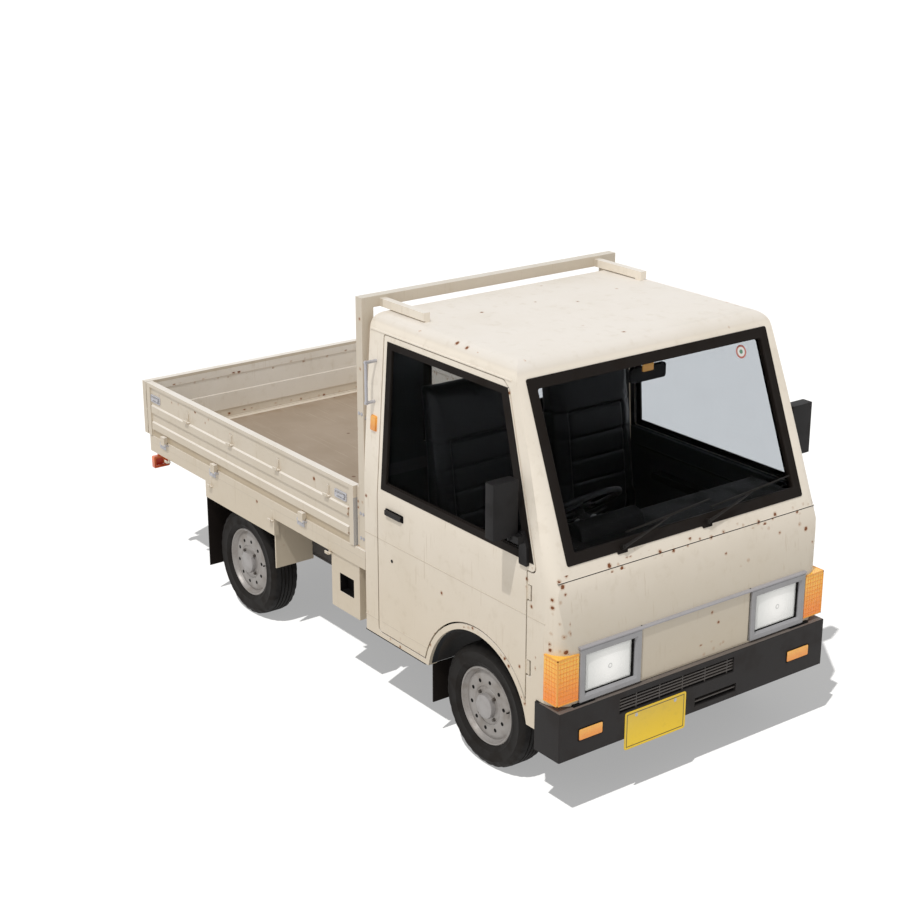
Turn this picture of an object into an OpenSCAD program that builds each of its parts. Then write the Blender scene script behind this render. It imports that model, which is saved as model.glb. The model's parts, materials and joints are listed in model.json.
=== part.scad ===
// Kei truck: forward-control cab, drop-side load bed, guard frame behind the cab.
// x runs forward, y to the left, z up, from the ground under the middle of the truck.

/* [Cab] */
// Width across the cab sides at the waist
cab_w = 1458; // [1200:2:1760]
// Width across the cab sides under the roof
cab_top_w = 1364; // [1100:2:1700]
// Rear face of the cab
cab_rear_x = 354; // [300:1:400]
// Front face of the nose
nose_x = 1661; // [1655:1:1680]
// How far the nose leans back between its foot and the waist
nose_lean = 44; // [10:1:60]
// Height of the cab's lower edge
cab_foot_z = 345; // [320:1:360]
// Height at which the cab sides start to lean in
waist_z = 1000; // [960:1:1030]
// Height of the roof panel's lower edge
eave_z = 1704; // [1690:1:1900]
// Height of the roof
roof_z = 1775; // [1760:1:2000]
// Thickness of the cab's walls, roof and doors
wall = 45; // [30:1:55]
// Radius of the roof's edges
roof_r = 75; // [50:1:90]
// Radius of the nose's corners in plan
nose_r = 90; // [60:1:110]

/* [Windows] */
// Width of the windscreen with its seal
screen_w = 1284; // [1000:2:1300]
// Height of the windscreen's lower edge
screen_low_z = 1034; // [1034:1:1060]
// Depth of the roof's front above the windscreen seal
header_h = 64; // [50:1:90]
// Lean of the windscreen from upright
screen_tilt = 21.5; // [15:0.5:24]
// Width of the rubber window seals
seal_w = 60; // [30:1:70]
// Thickness of the glass
glass_t = 5; // [3:0.5:8]
// Width of the rear window with its seal
rear_window_w = 880; // [600:10:1100]
// Height of the rear window's lower edge
rear_window_z = 1160; // [1100:5:1250]
// Height of the rear window with its seal
rear_window_h = 420; // [300:5:450]

/* [Doors] */
// Rear edge of the door
door_rear_x = 462; // [440:1:500]
// Front edge of the door below the waist
door_front_x = 1465; // [1450:1:1470]
// Lower edge of the door
door_foot_z = 373; // [365:1:400]
// Gap around the door
door_gap = 7; // [6:0.5:10]
// Thickness of the door's outer skin with its flange
door_skin = 16; // [12:1:20]
// Width of the flange around the door's thick part
door_flange = 30; // [26:1:40]

/* [Wheels] */
// Distance between the axles
wheelbase = 1900; // [1800:5:1950]
// Front axle's distance ahead of the origin
front_axle_x = 1137; // [1120:1:1150]
// Radius of the tyre
tyre_r = 265; // [240:1:280]
// Width of the tyre
tyre_w = 145; // [120:1:155]
// Radius of the rim's flange
rim_r = 169; // [150:1:175]
// Tyre's outer face inboard of the cab side
wheel_inset = 48; // [40:1:60]
// Room between the tyre and the wheel arch
arch_room = 67; // [60:1:80]
// Width of the lip around the wheel arch
arch_lip = 31; // [24:1:36]
// Steering lock to each side, in degrees
steer_lock = 35; // [20:1:38]

/* [Load bed] */
// Front end of the side gates
bed_front_x = 262; // [200:1:270]
// Length of the side gates
bed_len = 1910; // [1600:5:1980]
// Height of the deck
deck_z = 696; // [680:1:760]
// Height of the gates above the deck
gate_h = 285; // [200:1:400]
// Thickness of the gates
gate_t = 36; // [24:1:45]
// Depth of the bed's side sills
sill_h = 86; // [70:1:90]
// Height of the guard frame
guard_z = 1828; // [1820:1:2000]
// Thickness of the guard frame's posts
post_d = 46; // [30:1:46]
// Length of the guard frame's arms over the roof
arm_len = 311; // [100:1:400]

/* [Chassis] */
// Distance between the chassis rails
rail_gap = 620; // [500:5:640]
// Width of a chassis rail
rail_w = 60; // [40:1:60]
// Height of a chassis rail
rail_h = 100; // [80:1:110]

/* [Hidden] */
$fn = 48;
CREAM = [0.86, 0.82, 0.75];
DARK = [0.16, 0.15, 0.14];
STEEL = [0.6, 0.6, 0.58];
GREY = [0.28, 0.27, 0.26];
AMBER = [0.93, 0.6, 0.25];
BIG = 4000;
ROUND_STEPS = 6;
GAP = 5.5;                    // clearance between moving pieces
PIN_PLAY = 0.1;               // radial clearance of a pin in its bore

hw = cab_w / 2;
top_hw = cab_top_w / 2;
lean = (hw - top_hw) / (eave_z - waist_z);
inner_y = hw - wall;
side_split_y = top_hw - wall - 17;
function side_y(z) = z < waist_z ? hw : hw - (z - waist_z) * lean;

screen_top_z = roof_z - header_h;
nose_top_x = nose_x - nose_lean;
screen_low_x = nose_top_x - 16;
function screen_x(z) = screen_low_x - (z - screen_low_z) * tan(screen_tilt);
screen_len = (screen_top_z - screen_low_z) / cos(screen_tilt);

rear_axle_x = front_axle_x - wheelbase;
wheel_y = hw - wheel_inset - tyre_w / 2;
arch_x = front_axle_x + 13;
arch_z = tyre_r + 15;
arch_r = tyre_r + arch_room;
door_arch_r = arch_r + arch_lip;
rim_in_r = rim_r - 17;        // bead seat, where the tyre sits
king_y = wheel_y - 48;         // steering axis
king_r = 9;

door_top_z = eave_z - door_gap;
ear_z = waist_z + 2;           // where the door steps forward to meet the windscreen pillar
sash_x = screen_x(ear_z) - 92;
sash_top_z = door_top_z - 31;
sash_top_x = screen_x(sash_top_z) - 62;
side_window_z = waist_z + 40;
sash_w = 28;                  // metal around the door window
seal_r = 10;                  // radius of the window seals' corners
hinge_x = door_front_x + 15;
hinge_in = 8;                 // door hinge axis inboard of the skin
hinge_z = [door_foot_z + 190, waist_z - 120];
hinge_h = 60;
hinge_r = 6;
hinge_pin_r = 3;
pocket_r = hinge_x - door_front_x + GAP;

bed_rear_x = bed_front_x - bed_len;
gate_y = hw - 7;              // outer face of the side gates
gate_hinge_y = hw + 2;
gate_hinge_z = deck_z - 6;
gate_hinge_r = 6.5;
gate_pin_r = 3.5;
gate_foot_z = deck_z + GAP;
gate_top_z = deck_z + gate_h;
sill_y = hw - 13;             // outer face of the bed's sills
sill_t = 32;
sill_foot_z = deck_z - sill_h;
tail_x = bed_rear_x - GAP;    // inner face of the tailgate
tail_hinge_x = tail_x - gate_t - 1;
deck_front_x = cab_rear_x - 14;
deck_rear_x = tail_x + GAP;
post_x = bed_front_x + 18;
post_y = hw - 25;             // outer face of the guard posts
post_w = 60;
bar_h = 48;
rail_y = rail_gap / 2;
rail_top_z = deck_z - 76;     // under the bed
cab_rail_z = 400;             // top of the rails under the cab
floor_z = cab_rail_z + 5;
floor_t = 20;
plinth_top_z = arch_z + arch_r + 28;
bumper_x = nose_x + 26.5;
bumper_t = 50;
bumper_side = 151;            // how far the bumper wraps back at each side
bumper_low_z = 265;
bumper_h = 209;
panel_foot_z = bumper_low_z + bumper_h + 4;
rail_front_x = bumper_x - bumper_t - 1;
hub_r = 15;

// Points of a polygon with rounded corners, each corner given as [x, y, radius]
function unit(v) = v / norm(v);
function spin(v, a) = [v[0] * cos(a) - v[1] * sin(a), v[0] * sin(a) + v[1] * cos(a)];
function corner(a, b, c) =
    let (p = [b[0], b[1]], r = len(b) > 2 ? b[2] : 0)
    r == 0 ? [p] :
    let (u = unit([a[0], a[1]] - p), v = unit([c[0], c[1]] - p), half = acos(u * v) / 2,
         mid = p + unit(u + v) * r / sin(half), start = p + u * r / tan(half) - mid,
         turn = -sign(cross(u, v)) * (180 - 2 * half))
    [for (i = [0 : ROUND_STEPS]) mid + spin(start, turn * i / ROUND_STEPS)];
function rounded(c) = [for (i = [0 : len(c) - 1])
    each corner(c[(i + len(c) - 1) % len(c)], c[i], c[(i + 1) % len(c)])];

// A flat outline given in (x, z), (y, z) or (x, y) and extruded along the third axis
module along_y(y0, y1) translate([0, y1, 0]) rotate([90, 0, 0]) linear_extrude(y1 - y0) children();
module along_x(x0, x1) translate([x0, 0, 0]) rotate([90, 0, 90]) linear_extrude(x1 - x0) children();
module along_z(z0, z1) translate([0, 0, z0]) linear_extrude(z1 - z0) children();
module box(low, high) translate(low) cube(high - low);
module both() { children(); mirror([0, 1, 0]) children(); }
module rod_y(x, z, r, y0, y1) translate([x, y0, z]) rotate([-90, 0, 0]) cylinder(r = r, h = y1 - y0);
module rod_x(y, z, r, x0, x1) translate([x0, y, z]) rotate([0, 90, 0]) cylinder(r = r, h = x1 - x0);
module rod_z(x, y, r, z0, z1) translate([x, y, z0]) cylinder(r = r, h = z1 - z0);

// ---- cab shell ----
module cab_profile() polygon(rounded([
    [cab_rear_x, -100], [nose_x, -100], [nose_x, panel_foot_z + 220], [nose_top_x, waist_z],
    [screen_low_x, screen_low_z], [screen_x(roof_z), roof_z, roof_r + 15],
    [cab_rear_x, roof_z, 40]]));
module cab_section() polygon(rounded([
    [-hw, -100], [hw, -100], [hw, waist_z], [side_y(roof_z), roof_z, roof_r],
    [-side_y(roof_z), roof_z, roof_r], [-hw, waist_z]]));
module cab_plan() polygon(rounded([
    [cab_rear_x, -hw, 12], [nose_x, -hw, nose_r], [nose_x, hw, nose_r], [cab_rear_x, hw, 12]]));
module screen_plan() polygon(rounded([
    [-BIG, -hw], [0, -hw, 60], [0, hw, 60], [-BIG, hw]]));
// children() drawn in the windscreen's own plane: x out of it, z up its slope
module on_screen() translate([screen_low_x, 0, screen_low_z]) rotate([0, -screen_tilt, 0]) children();

module cab_solid(inset = 0) intersection() {
    along_y(-cab_w, cab_w) offset(delta = -inset) cab_profile();
    along_x(0, BIG) offset(delta = -inset) cab_section();
    along_z(-99, BIG) offset(delta = -inset) cab_plan();
    on_screen() along_z(-BIG, BIG) offset(delta = -inset) screen_plan();
}
module cab_shell(outer = 0, inner = wall) difference() {
    cab_solid(outer);
    cab_solid(inner);
}
// The outline of the windscreen, moved in by inset, from depth a to depth b
module screen_slab(inset, a, b) on_screen() along_x(a, b) offset(delta = -inset)
    polygon(rounded([[-screen_w / 2, 0, seal_r], [screen_w / 2, 0, seal_r],
        [screen_w / 2, screen_len, seal_r], [-screen_w / 2, screen_len, seal_r]]));
module rear_window_slab(inset, a, b) along_x(a, b) offset(delta = -inset)
    translate([0, rear_window_z]) polygon(rounded([[-rear_window_w / 2, 0, seal_r],
        [rear_window_w / 2, 0, seal_r], [rear_window_w / 2, rear_window_h, seal_r],
        [-rear_window_w / 2, rear_window_h, seal_r]]));
module arch_cut(r, y0, y1) rod_y(arch_x, arch_z, r, y0, y1);
module door_outline() difference() {
    polygon(rounded([[door_rear_x, door_foot_z, 20], [door_front_x, door_foot_z],
        [door_front_x, ear_z, 4], [sash_x, ear_z, 20], [sash_top_x, sash_top_z, 20],
        [sash_top_x - 40, door_top_z], [door_rear_x, door_top_z, 12]]));
    translate([arch_x, arch_z]) circle(r = door_arch_r);
    translate([arch_x, arch_z - door_arch_r]) square([BIG, door_arch_r]);
}
module door_window() polygon(rounded([[door_rear_x + sash_w, side_window_z, seal_r],
    [sash_x - 24, side_window_z, seal_r], [sash_top_x - 12, door_top_z - sash_w, seal_r],
    [door_rear_x + sash_w, door_top_z - sash_w, seal_r]]));
module door_zone() along_y(-BIG, -side_split_y) offset(delta = door_gap) door_outline();
module front_zone() box([door_front_x + door_gap, -BIG, cab_foot_z], [BIG, BIG, screen_low_z]);

module cab_side() difference() {
    intersection() {
        cab_shell();
        box([0, -BIG, cab_foot_z], [BIG, -side_split_y, eave_z]);
    }
    door_zone();
    front_zone();
    arch_cut(arch_r, -BIG, 0);
    screen_slab(0, -BIG / 10, 100);
}
module cab_side_right() color(CREAM) cab_side();
module cab_side_left() color(CREAM) mirror([0, 1, 0]) cab_side();

lamp_y = 305;                 // inner edge of the headlamp
lamp_w = 318;
lamp_h = 226;
corner_lamp_y = lamp_y + lamp_w + 5;
corner_lamp_x = nose_x - 77;
corner_lamp_z = [panel_foot_z + 20, panel_foot_z + 216];
corner_lamp_out = 6;          // how far the corner lamps stand out
module lamp_zone() both() along_x(nose_x - wall - 60, BIG) translate([0, panel_foot_z + 6])
    polygon(rounded([[lamp_y, 0, 10], [lamp_y + lamp_w, 0, 10], [lamp_y + lamp_w, lamp_h, 10],
        [lamp_y, lamp_h, 10]]));
module corner_lamp_zone() both() box([corner_lamp_x, corner_lamp_y, corner_lamp_z[0]],
    [BIG, BIG, corner_lamp_z[1]]);

module front_panel() color(CREAM) difference() {
    intersection() {
        cab_shell();
        front_zone();
    }
    both() along_y(-BIG, -side_split_y) offset(delta = door_gap) door_outline();
    both() arch_cut(arch_r, -BIG, 0);
    screen_slab(0, -200, 100);
    lamp_zone();
    corner_lamp_zone();
    box([bumper_x - bumper_side - 3.5, -BIG, 0], [BIG, BIG, panel_foot_z]);
    both() for (z = hinge_z) difference() {
        rod_z(hinge_x, -hw + hinge_in, pocket_r, z - GAP, z + hinge_h + GAP);
        rod_z(hinge_x, -hw + hinge_in, hinge_pin_r, 0, BIG);
    }
}
module roof_panel() color(CREAM) difference() {
    intersection() {
        cab_shell();
        box([0, -BIG, eave_z], [BIG, BIG, BIG]);
    }
    screen_slab(0, -200, 100);
}
module rear_wall() color(CREAM) difference() {
    intersection() {
        cab_shell();
        box([0, -side_split_y, cab_foot_z], [cab_rear_x + wall, side_split_y, eave_z]);
    }
    rear_window_slab(0, 0, BIG);
    box([0, -rail_y - rail_w - 5, 0], [BIG, rail_y + rail_w + 5, cab_rail_z + 2]);
}
glass_in = 10;                // depth of the glass below the panel
seal_grip = 12;               // how far the seal holds the glass
module windscreen() color("lightblue", 0.5)
    screen_slab(seal_w - seal_grip, -glass_in - glass_t, -glass_in);
module rear_window() color("lightblue", 0.5)
    rear_window_slab(seal_w - seal_grip, cab_rear_x + glass_in, cab_rear_x + glass_in + glass_t);
module window_seals() color(DARK) {
    difference() {
        screen_slab(0, -glass_in * 2.5, 4);
        screen_slab(seal_w, -BIG, BIG);
        windscreen();
    }
    difference() {
        rear_window_slab(0, cab_rear_x - 4, cab_rear_x + glass_in * 2.5);
        rear_window_slab(seal_w, 0, BIG);
        rear_window();
    }
}

// ---- lamps, bumper, plates ----
module headlamps() color(STEEL) intersection() {
    lamp_zone();
    box([nose_x - 42, -BIG, 0], [nose_x + 2, BIG, BIG]);
}
module corner_lamps() color(AMBER) both() difference() {
    box([corner_lamp_x, -hw - corner_lamp_out, corner_lamp_z[0]],
        [nose_x + corner_lamp_out, -corner_lamp_y, corner_lamp_z[1]]);
    cab_solid(wall - 10);
}
bumper_y = hw + 8.5;
module bumper_plan(inset) polygon(rounded([[bumper_x - bumper_side, -bumper_y + inset],
    [bumper_x - inset, -bumper_y + inset, 6], [bumper_x - inset, bumper_y - inset, 6],
    [bumper_x - bumper_side, bumper_y - inset]]));
// Air slots in the bumper's face, each as [y, z, width, height]
bumper_slots = [[-428, 383, 628, 68], [-16, 289, 235, 37]];
slot_d = 32;
module front_bumper() color(GREY) difference() {
    along_z(bumper_low_z, bumper_low_z + bumper_h) bumper_plan(0);
    along_z(0, BIG) translate([-1, 0]) bumper_plan(bumper_t);
    for (s = bumper_slots) translate([bumper_x - slot_d, s[0], s[1]]) cube([BIG, s[2], s[3]]);
}
plate_w = 330;
plate_h = 165;
plate_y = -238;
plate_z = bumper_low_z + 30;
plate_t = 4;
module plate_blank() translate([0, -plate_w / 2, -plate_h / 2]) cube([plate_t, plate_w, plate_h]);
module number_plates() color("gold") {
    translate([bumper_x, plate_y, plate_z]) plate_blank();
    translate([deck_rear_x - 20 - plate_t, plate_y, sill_foot_z - 92]) plate_blank();
}
rear_lamp_y = [560, 700];
rear_lamp_z = [sill_foot_z - 115, sill_foot_z - 35];
module rear_lamps() color(AMBER) both() {
    box([deck_rear_x - 20, rear_lamp_y[0], rear_lamp_z[0]],
        [deck_rear_x + 25, rear_lamp_y[1], rear_lamp_z[1]]);
    box([deck_rear_x + 2, rear_lamp_y[0] + 40, rear_lamp_z[1]],
        [deck_rear_x + 8, rear_lamp_y[1] - 40, sill_foot_z]);
}

// ---- cab floor and fittings ----
plinth_rear_x = cab_rear_x + wall + 20;
plinth_front_x = front_axle_x + 20;
plinth_y = inner_y - 20;
floor_y = inner_y - GAP;
tub_t = 6;
tub_in_y = wheel_y - tyre_w / 2 - 157;
engine_front_x = 1060;
toe_x = nose_x - wall - 25;   // front face of the toe board
toe_z = panel_foot_z + 160;   // top of the toe board
plinth_t = 8;
module cab_floor() color(GREY) difference() {
    union() {
        box([cab_rear_x + wall, -floor_y, floor_z], [toe_x, floor_y, floor_z + floor_t]);
        box([toe_x - 20, -plinth_y, floor_z], [toe_x, plinth_y, toe_z]);
        box([toe_x, -lamp_y + 10, panel_foot_z + 20], [nose_x - wall, lamp_y - 10, toe_z]);
        box([plinth_rear_x, -plinth_y, floor_z], [plinth_front_x, plinth_y, plinth_top_z]);
        both() intersection() {
            arch_cut(arch_r + tub_t, -inner_y, -tub_in_y);
            box([0, -BIG, cab_foot_z + 5], [BIG, 0, BIG]);
        }
    }
    difference() {
        box([plinth_rear_x + plinth_t, -plinth_y + plinth_t, 0],
            [plinth_front_x - plinth_t, plinth_y - plinth_t, plinth_top_z - plinth_t]);
        both() arch_cut(arch_r + tub_t, -inner_y, -tub_in_y);
        both() box([0, -inner_y, floor_z], [BIG, -tub_in_y, floor_z + floor_t]);
    }
    both() arch_cut(arch_r, -BIG, -tub_in_y - tub_t);
}
seat_top_z = plinth_top_z + 110;
seat_w = 534;
seat_gap = 110;               // between the two seats
seat_back_x = cab_rear_x + 206; // foot of the seat back's rear face
seat_back_h = 761;            // height of the back above the cushion
// A high-backed seat: cushion and back in one outline
module seat() along_y(-seat_w - seat_gap / 2, -seat_gap / 2) polygon(rounded([
    [seat_back_x, plinth_top_z, 10], [plinth_front_x - 10, plinth_top_z, 20],
    [plinth_front_x, seat_top_z, 45], [seat_back_x + 150, seat_top_z - 15, 20],
    [seat_back_x + 40, seat_top_z + seat_back_h, 30],
    [seat_back_x - 70, seat_top_z + seat_back_h, 30]]));
module seats() color(GREY) both() seat();
dash_y = inner_y - 44;
wheel_hub = [screen_x(waist_z) - 310, -cab_w / 4 + 24, waist_z + 120];
column_tilt = 36;             // from upright
column_r = 18;
column_len = 300;
module on_column() translate(wheel_hub) rotate([0, -column_tilt, 0]) children();
module dashboard() color(GREY) {
    along_y(-dash_y, dash_y) polygon(rounded([
        [toe_x - 20, toe_z], [nose_x - wall - nose_lean - 2, waist_z - 40],
        [nose_x - wall - nose_lean - 40, waist_z - 6, 10], [nose_x - 260, waist_z - 10, 30],
        [nose_x - 280, waist_z - 180, 30], [nose_x - 170, waist_z - 240, 20]]));
    on_column() translate([0, 0, -column_len - 10]) cylinder(r = column_r, h = column_len);
}
steer_r = 190;
module steering_wheel() color(DARK) on_column() {
    rotate_extrude() translate([steer_r - 13, 0]) circle(r = 13);
    translate([0, 0, -9.7]) cylinder(r = 55, h = 24);
    for (a = [0, 120, 240]) rotate([0, 0, a]) translate([50, -11, -5]) cube([steer_r - 62, 22, 10]);
}
wiper_y = [-380, 40];
wiper_len = 400;
module wipers() color(DARK) for (y = wiper_y) on_screen() translate([4, y, 22]) {
    rotate([0, 90, 0]) cylinder(r = 12, h = 18);
    rotate([-84, 0, 0]) translate([6, -7, 0]) cube([7, 14, wiper_len]);
}
handle_h = 176;
handle_z = waist_z + 400;
module grab_handles() color(STEEL) both() difference() {
    union() {
        for (z = [handle_z, handle_z + handle_h])
            rod_y(door_rear_x - 53, z, 7, -side_y(handle_z) - 48, -top_hw);
        rod_z(door_rear_x - 53, -side_y(handle_z) - 41, 7, handle_z - 7, handle_z + handle_h + 7);
    }
    cab_solid(0);
}

// ---- chassis ----
module rail_profile() polygon(rounded([
    [deck_rear_x + 40, rail_top_z - rail_h], [-420, rail_top_z - rail_h, 60],
    [60, cab_rail_z - rail_h, 60], [rail_front_x, cab_rail_z - rail_h],
    [rail_front_x, cab_rail_z], [80, cab_rail_z, 60], [-380, rail_top_z, 60],
    [deck_rear_x + 40, rail_top_z]]));
spring_y = rail_y + rail_w + 40;
spring_half = 430;
spring_w = 50;
hanger_z = rail_top_z - rail_h;
module cross_members() color(DARK) {
    for (x = [rail_front_x - 80, engine_front_x - 60, engine_front_x - 480])
        box([x, -rail_y, cab_rail_z - rail_h], [x + 60, rail_y, cab_rail_z - rail_h + 40]);
    for (x = [deck_rear_x + 50, rear_axle_x - spring_half, rear_axle_x + spring_half])
        box([x - 20, -rail_y, hanger_z + 20], [x + 30, rail_y, hanger_z + 80]);
}
module chassis_rails() color(DARK) {
    both() along_y(-rail_y - rail_w, -rail_y) rail_profile();
    both() for (x = [rear_axle_x - spring_half, rear_axle_x + spring_half])
        box([x - 14, -spring_y - spring_w / 2, spring_top_z], [x + 14, -rail_y - rail_w, hanger_z + 60]);
    both() for (x = [cab_rear_x + 80, front_axle_x + 330])
        box([x, -rail_y - rail_w, cab_rail_z], [x + 60, -rail_y, floor_z]);
    tow_eye(rail_front_x - 50, cab_rail_z - rail_h);
    tow_eye(deck_rear_x + 80, hanger_z);
}
// A towing eye: a plate hung under a rail, with a bore across it
module tow_eye(x, z) difference() {
    along_y(-tow_y - tow_t / 2, -tow_y + tow_t / 2) translate([x, z]) polygon(rounded([
        [-32, 2], [-32, -tow_drop, 24], [32, -tow_drop, 24], [32, 2]]));
    rod_y(x, z - tow_drop + 30, tow_r, -BIG, BIG);
}
tow_y = rail_y + rail_w / 2;
tow_t = 12;
tow_r = 14;
tow_drop = 84;
spring_end_z = tyre_r + 150;
spring_seat_z = tyre_r + 32;
spring_rise = spring_end_z - spring_seat_z;
spring_t = 24;
spring_R = (pow(spring_half, 2) + pow(spring_rise, 2)) / (2 * spring_rise);
spring_turn = asin(spring_half / spring_R);
spring_top_z = spring_seat_z + spring_R - (spring_R - spring_t) * cos(spring_turn);
module leaf_profile() polygon(concat(
    [for (i = [-8 : 8]) [spring_R * sin(spring_turn * i / 8),
        spring_seat_z + spring_R * (1 - cos(spring_turn * i / 8))]],
    [for (i = [8 : -1 : -8]) [(spring_R - spring_t) * sin(spring_turn * i / 8),
        spring_seat_z + spring_R - (spring_R - spring_t) * cos(spring_turn * i / 8)]]));
module rear_axle() color(DARK) {
    rod_y(rear_axle_x, tyre_r, 32, -wheel_y + 60, wheel_y - 60);
    both() rod_y(rear_axle_x, tyre_r, 100, -wheel_y + 34, -wheel_y + 62);
    both() rod_y(rear_axle_x, tyre_r, hub_r, -wheel_y - 20, -wheel_y + 60);
    rod_y(rear_axle_x, tyre_r, 95, -60, 60);
    both() along_y(-spring_y - spring_w / 2, -spring_y + spring_w / 2)
        translate([rear_axle_x, 0]) leaf_profile();
    both() box([rear_axle_x - 50, -spring_y - spring_w / 2, tyre_r],
        [rear_axle_x + 50, -spring_y + spring_w / 2, spring_seat_z + 2]);
}
module engine_block() color(STEEL) {
    box([engine_front_x - 500, -220, cab_rail_z - rail_h + 40], [engine_front_x, 220, plinth_top_z - 60]);
}
module front_suspension() color(DARK) {
    box([front_axle_x - 45, -rail_y - rail_w, cab_rail_z - rail_h - 60],
        [front_axle_x + 45, rail_y + rail_w, cab_rail_z - rail_h]);
    both() {
        for (z = [-1, 1]) box([front_axle_x - 16, -king_y - 16, tyre_r + z * 84 - 8],
            [front_axle_x + 16, -king_y + 92, tyre_r + z * 84 + 8]);
        box([front_axle_x - 30, -king_y + 60, tyre_r - 92], [front_axle_x + 30, -king_y + 92, tyre_r + 92]);
        box([front_axle_x - 30, -king_y + 91, tyre_r - 60],
            [front_axle_x + 30, -rail_y - rail_w + 1, tyre_r + 20]);
        rod_z(front_axle_x, -king_y, king_r, tyre_r - 80, tyre_r + 80);
        rod_z(front_axle_x, -king_y + 78, 20, tyre_r + 90, arch_z + arch_r - 2);
    }
}
module fuel_tank() color(DARK) along_x(-230, 230) polygon(rounded([
    [rail_y + rail_w + 10, rail_top_z - 220, 30], [inner_y - 40, rail_top_z - 220, 30],
    [inner_y - 40, rail_top_z, 15], [rail_y + rail_w + 10, rail_top_z, 15]]));
module exhaust() color(STEEL) {
    rod_y(deck_rear_x + 310, hanger_z - 68, 68, -260, rail_y + rail_w);
    rod_x(-150, hanger_z - 68, 16, deck_rear_x + 60, deck_rear_x + 310);
}

// ---- load bed ----
beam_x = [deck_front_x - 40, -150, -560, -980, deck_rear_x + 260];
module bed_frame() color(CREAM) {
    both() box([deck_rear_x, -sill_y, sill_foot_z], [deck_front_x, -sill_y + sill_t, deck_z]);
    box([deck_rear_x, -sill_y + sill_t, sill_foot_z], [deck_rear_x + 30, sill_y - sill_t, deck_z]);
    for (x = beam_x) box([x, -sill_y + sill_t, rail_top_z], [x + 40, sill_y - sill_t, deck_z - 16]);
    box([post_x - 12, -sill_y + sill_t, deck_z - 16], [deck_front_x, sill_y - sill_t, deck_z]);
    both() box([rear_axle_x - 312, -sill_y, sill_foot_z - 85],
        [rear_axle_x + 338, -sill_y + 26, sill_foot_z]);
    both() box([rear_axle_x + 323, -sill_y + 10, sill_foot_z - 256],
        [rear_axle_x + 331, -spring_y - 88, sill_foot_z + 20]);
    both() box([post_x - 12, -post_y, deck_z], [post_x, -post_y + post_w, gate_top_z]);
    box([deck_rear_x - 20, plate_y - 100, sill_foot_z - 150],
        [deck_rear_x + 8, plate_y + 100, sill_foot_z]);
}
module bed_floor() color([0.6, 0.55, 0.5])
    box([deck_rear_x + 30, -sill_y + sill_t, deck_z - 16], [post_x - 12, sill_y - sill_t, deck_z]);
module guard_frame() color(CREAM) {
    both() box([post_x, -post_y, deck_z], [post_x + post_d, -post_y + post_w, guard_z - bar_h]);
    box([post_x, -post_y, guard_z - bar_h], [post_x + post_d, post_y, guard_z]);
    box([post_x + 8, -post_y + post_w, deck_z], [post_x + 32, post_y - post_w, gate_top_z]);
    both() box([post_x + post_d, -611, roof_z + 5], [post_x + post_d + arm_len, -578, guard_z - 13]);
    both() box([post_x + post_d + arm_len - 37, -600, roof_z],
        [post_x + post_d + arm_len, -578, roof_z + 5]);
}
gate_hinge_x = [0.09, 0.358, 0.78];
tail_hinge_y = [-0.8, 0, 0.8];
barrel_h = 40;
lug_t = 8;
leaf_h = 40;
// One hinge: the fixed half, a pin along x with two lugs reaching inboard to the bed
module hinge_lugs(reach) {
    rod_x(0, 0, gate_pin_r, -barrel_h / 2 - lug_t - 1, barrel_h / 2 + lug_t + 1);
    for (x = [-barrel_h / 2 - lug_t - 0.5, barrel_h / 2 + 0.5]) {
        rod_x(0, 0, gate_hinge_r, x, x + lug_t);
        translate([x, 0, -gate_hinge_r]) cube([lug_t, reach, gate_hinge_r]);
    }
}
// The moving half: a barrel on the pin and a leaf up to the gate's outer face
module hinge_barrel(reach) difference() {
    union() {
        rod_x(0, 0, gate_hinge_r, -barrel_h / 2, barrel_h / 2);
        translate([-barrel_h / 2, 1 - gate_hinge_r, 0]) cube([barrel_h, gate_hinge_r - 1 + reach, leaf_h]);
        translate([-barrel_h / 2, reach, gate_foot_z - gate_hinge_z])
            cube([barrel_h, rib_d, leaf_h - gate_foot_z + gate_hinge_z]);
    }
    rod_x(0, 0, gate_pin_r + PIN_PLAY, -barrel_h, barrel_h);
}
module at_gate_hinges() for (s = gate_hinge_x)
    translate([bed_front_x - bed_len + s * bed_len, -gate_hinge_y, gate_hinge_z]) children();
module at_tail_hinges() for (s = tail_hinge_y)
    translate([tail_hinge_x, s * sill_y, gate_hinge_z]) rotate([0, 0, -90]) children();
module gate_hinges() color(STEEL) {
    both() at_gate_hinges() hinge_lugs(gate_hinge_y - sill_y);
    at_tail_hinges() hinge_lugs(deck_rear_x - tail_hinge_x);
}
rib_d = 8;                     // how far the gates' ribs and edges stand out
rib_h = 42;
rib_drop = [111, 200];         // tops of the ribs below the gate's top edge
gate_edge = 18;                // height of the gates' top edge
gate_end = 34;                 // width of the upright at each end of a gate
// A gate from x = a to b, outer face towards -y, with two pressed ribs along it
module gate_leaf(a, b) {
    along_x(a, b) polygon([[rib_d, gate_foot_z], [rib_d, gate_top_z], [gate_t, gate_top_z],
        [gate_t, gate_top_z - 51], [gate_t - 3, gate_top_z - 54], [gate_t - 3, gate_top_z - 144],
        [gate_t, gate_top_z - 147], [gate_t, gate_top_z - 236], [gate_t - 3, gate_top_z - 239],
        [gate_t - 3, gate_foot_z]]);
    box([a, 0, gate_top_z - gate_edge], [b, rib_d, gate_top_z]);
    for (x = [a, b - gate_end]) box([x, 0, gate_foot_z], [x + gate_end, rib_d, gate_top_z - gate_edge]);
    for (drop = rib_drop) along_x(a + gate_end + rib_d, b - gate_end - rib_d)
        translate([0, gate_top_z - drop]) polygon([[rib_d, 0], [0, -6], [0, -rib_h], [rib_d, -rib_h - 4]]);
}
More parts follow.
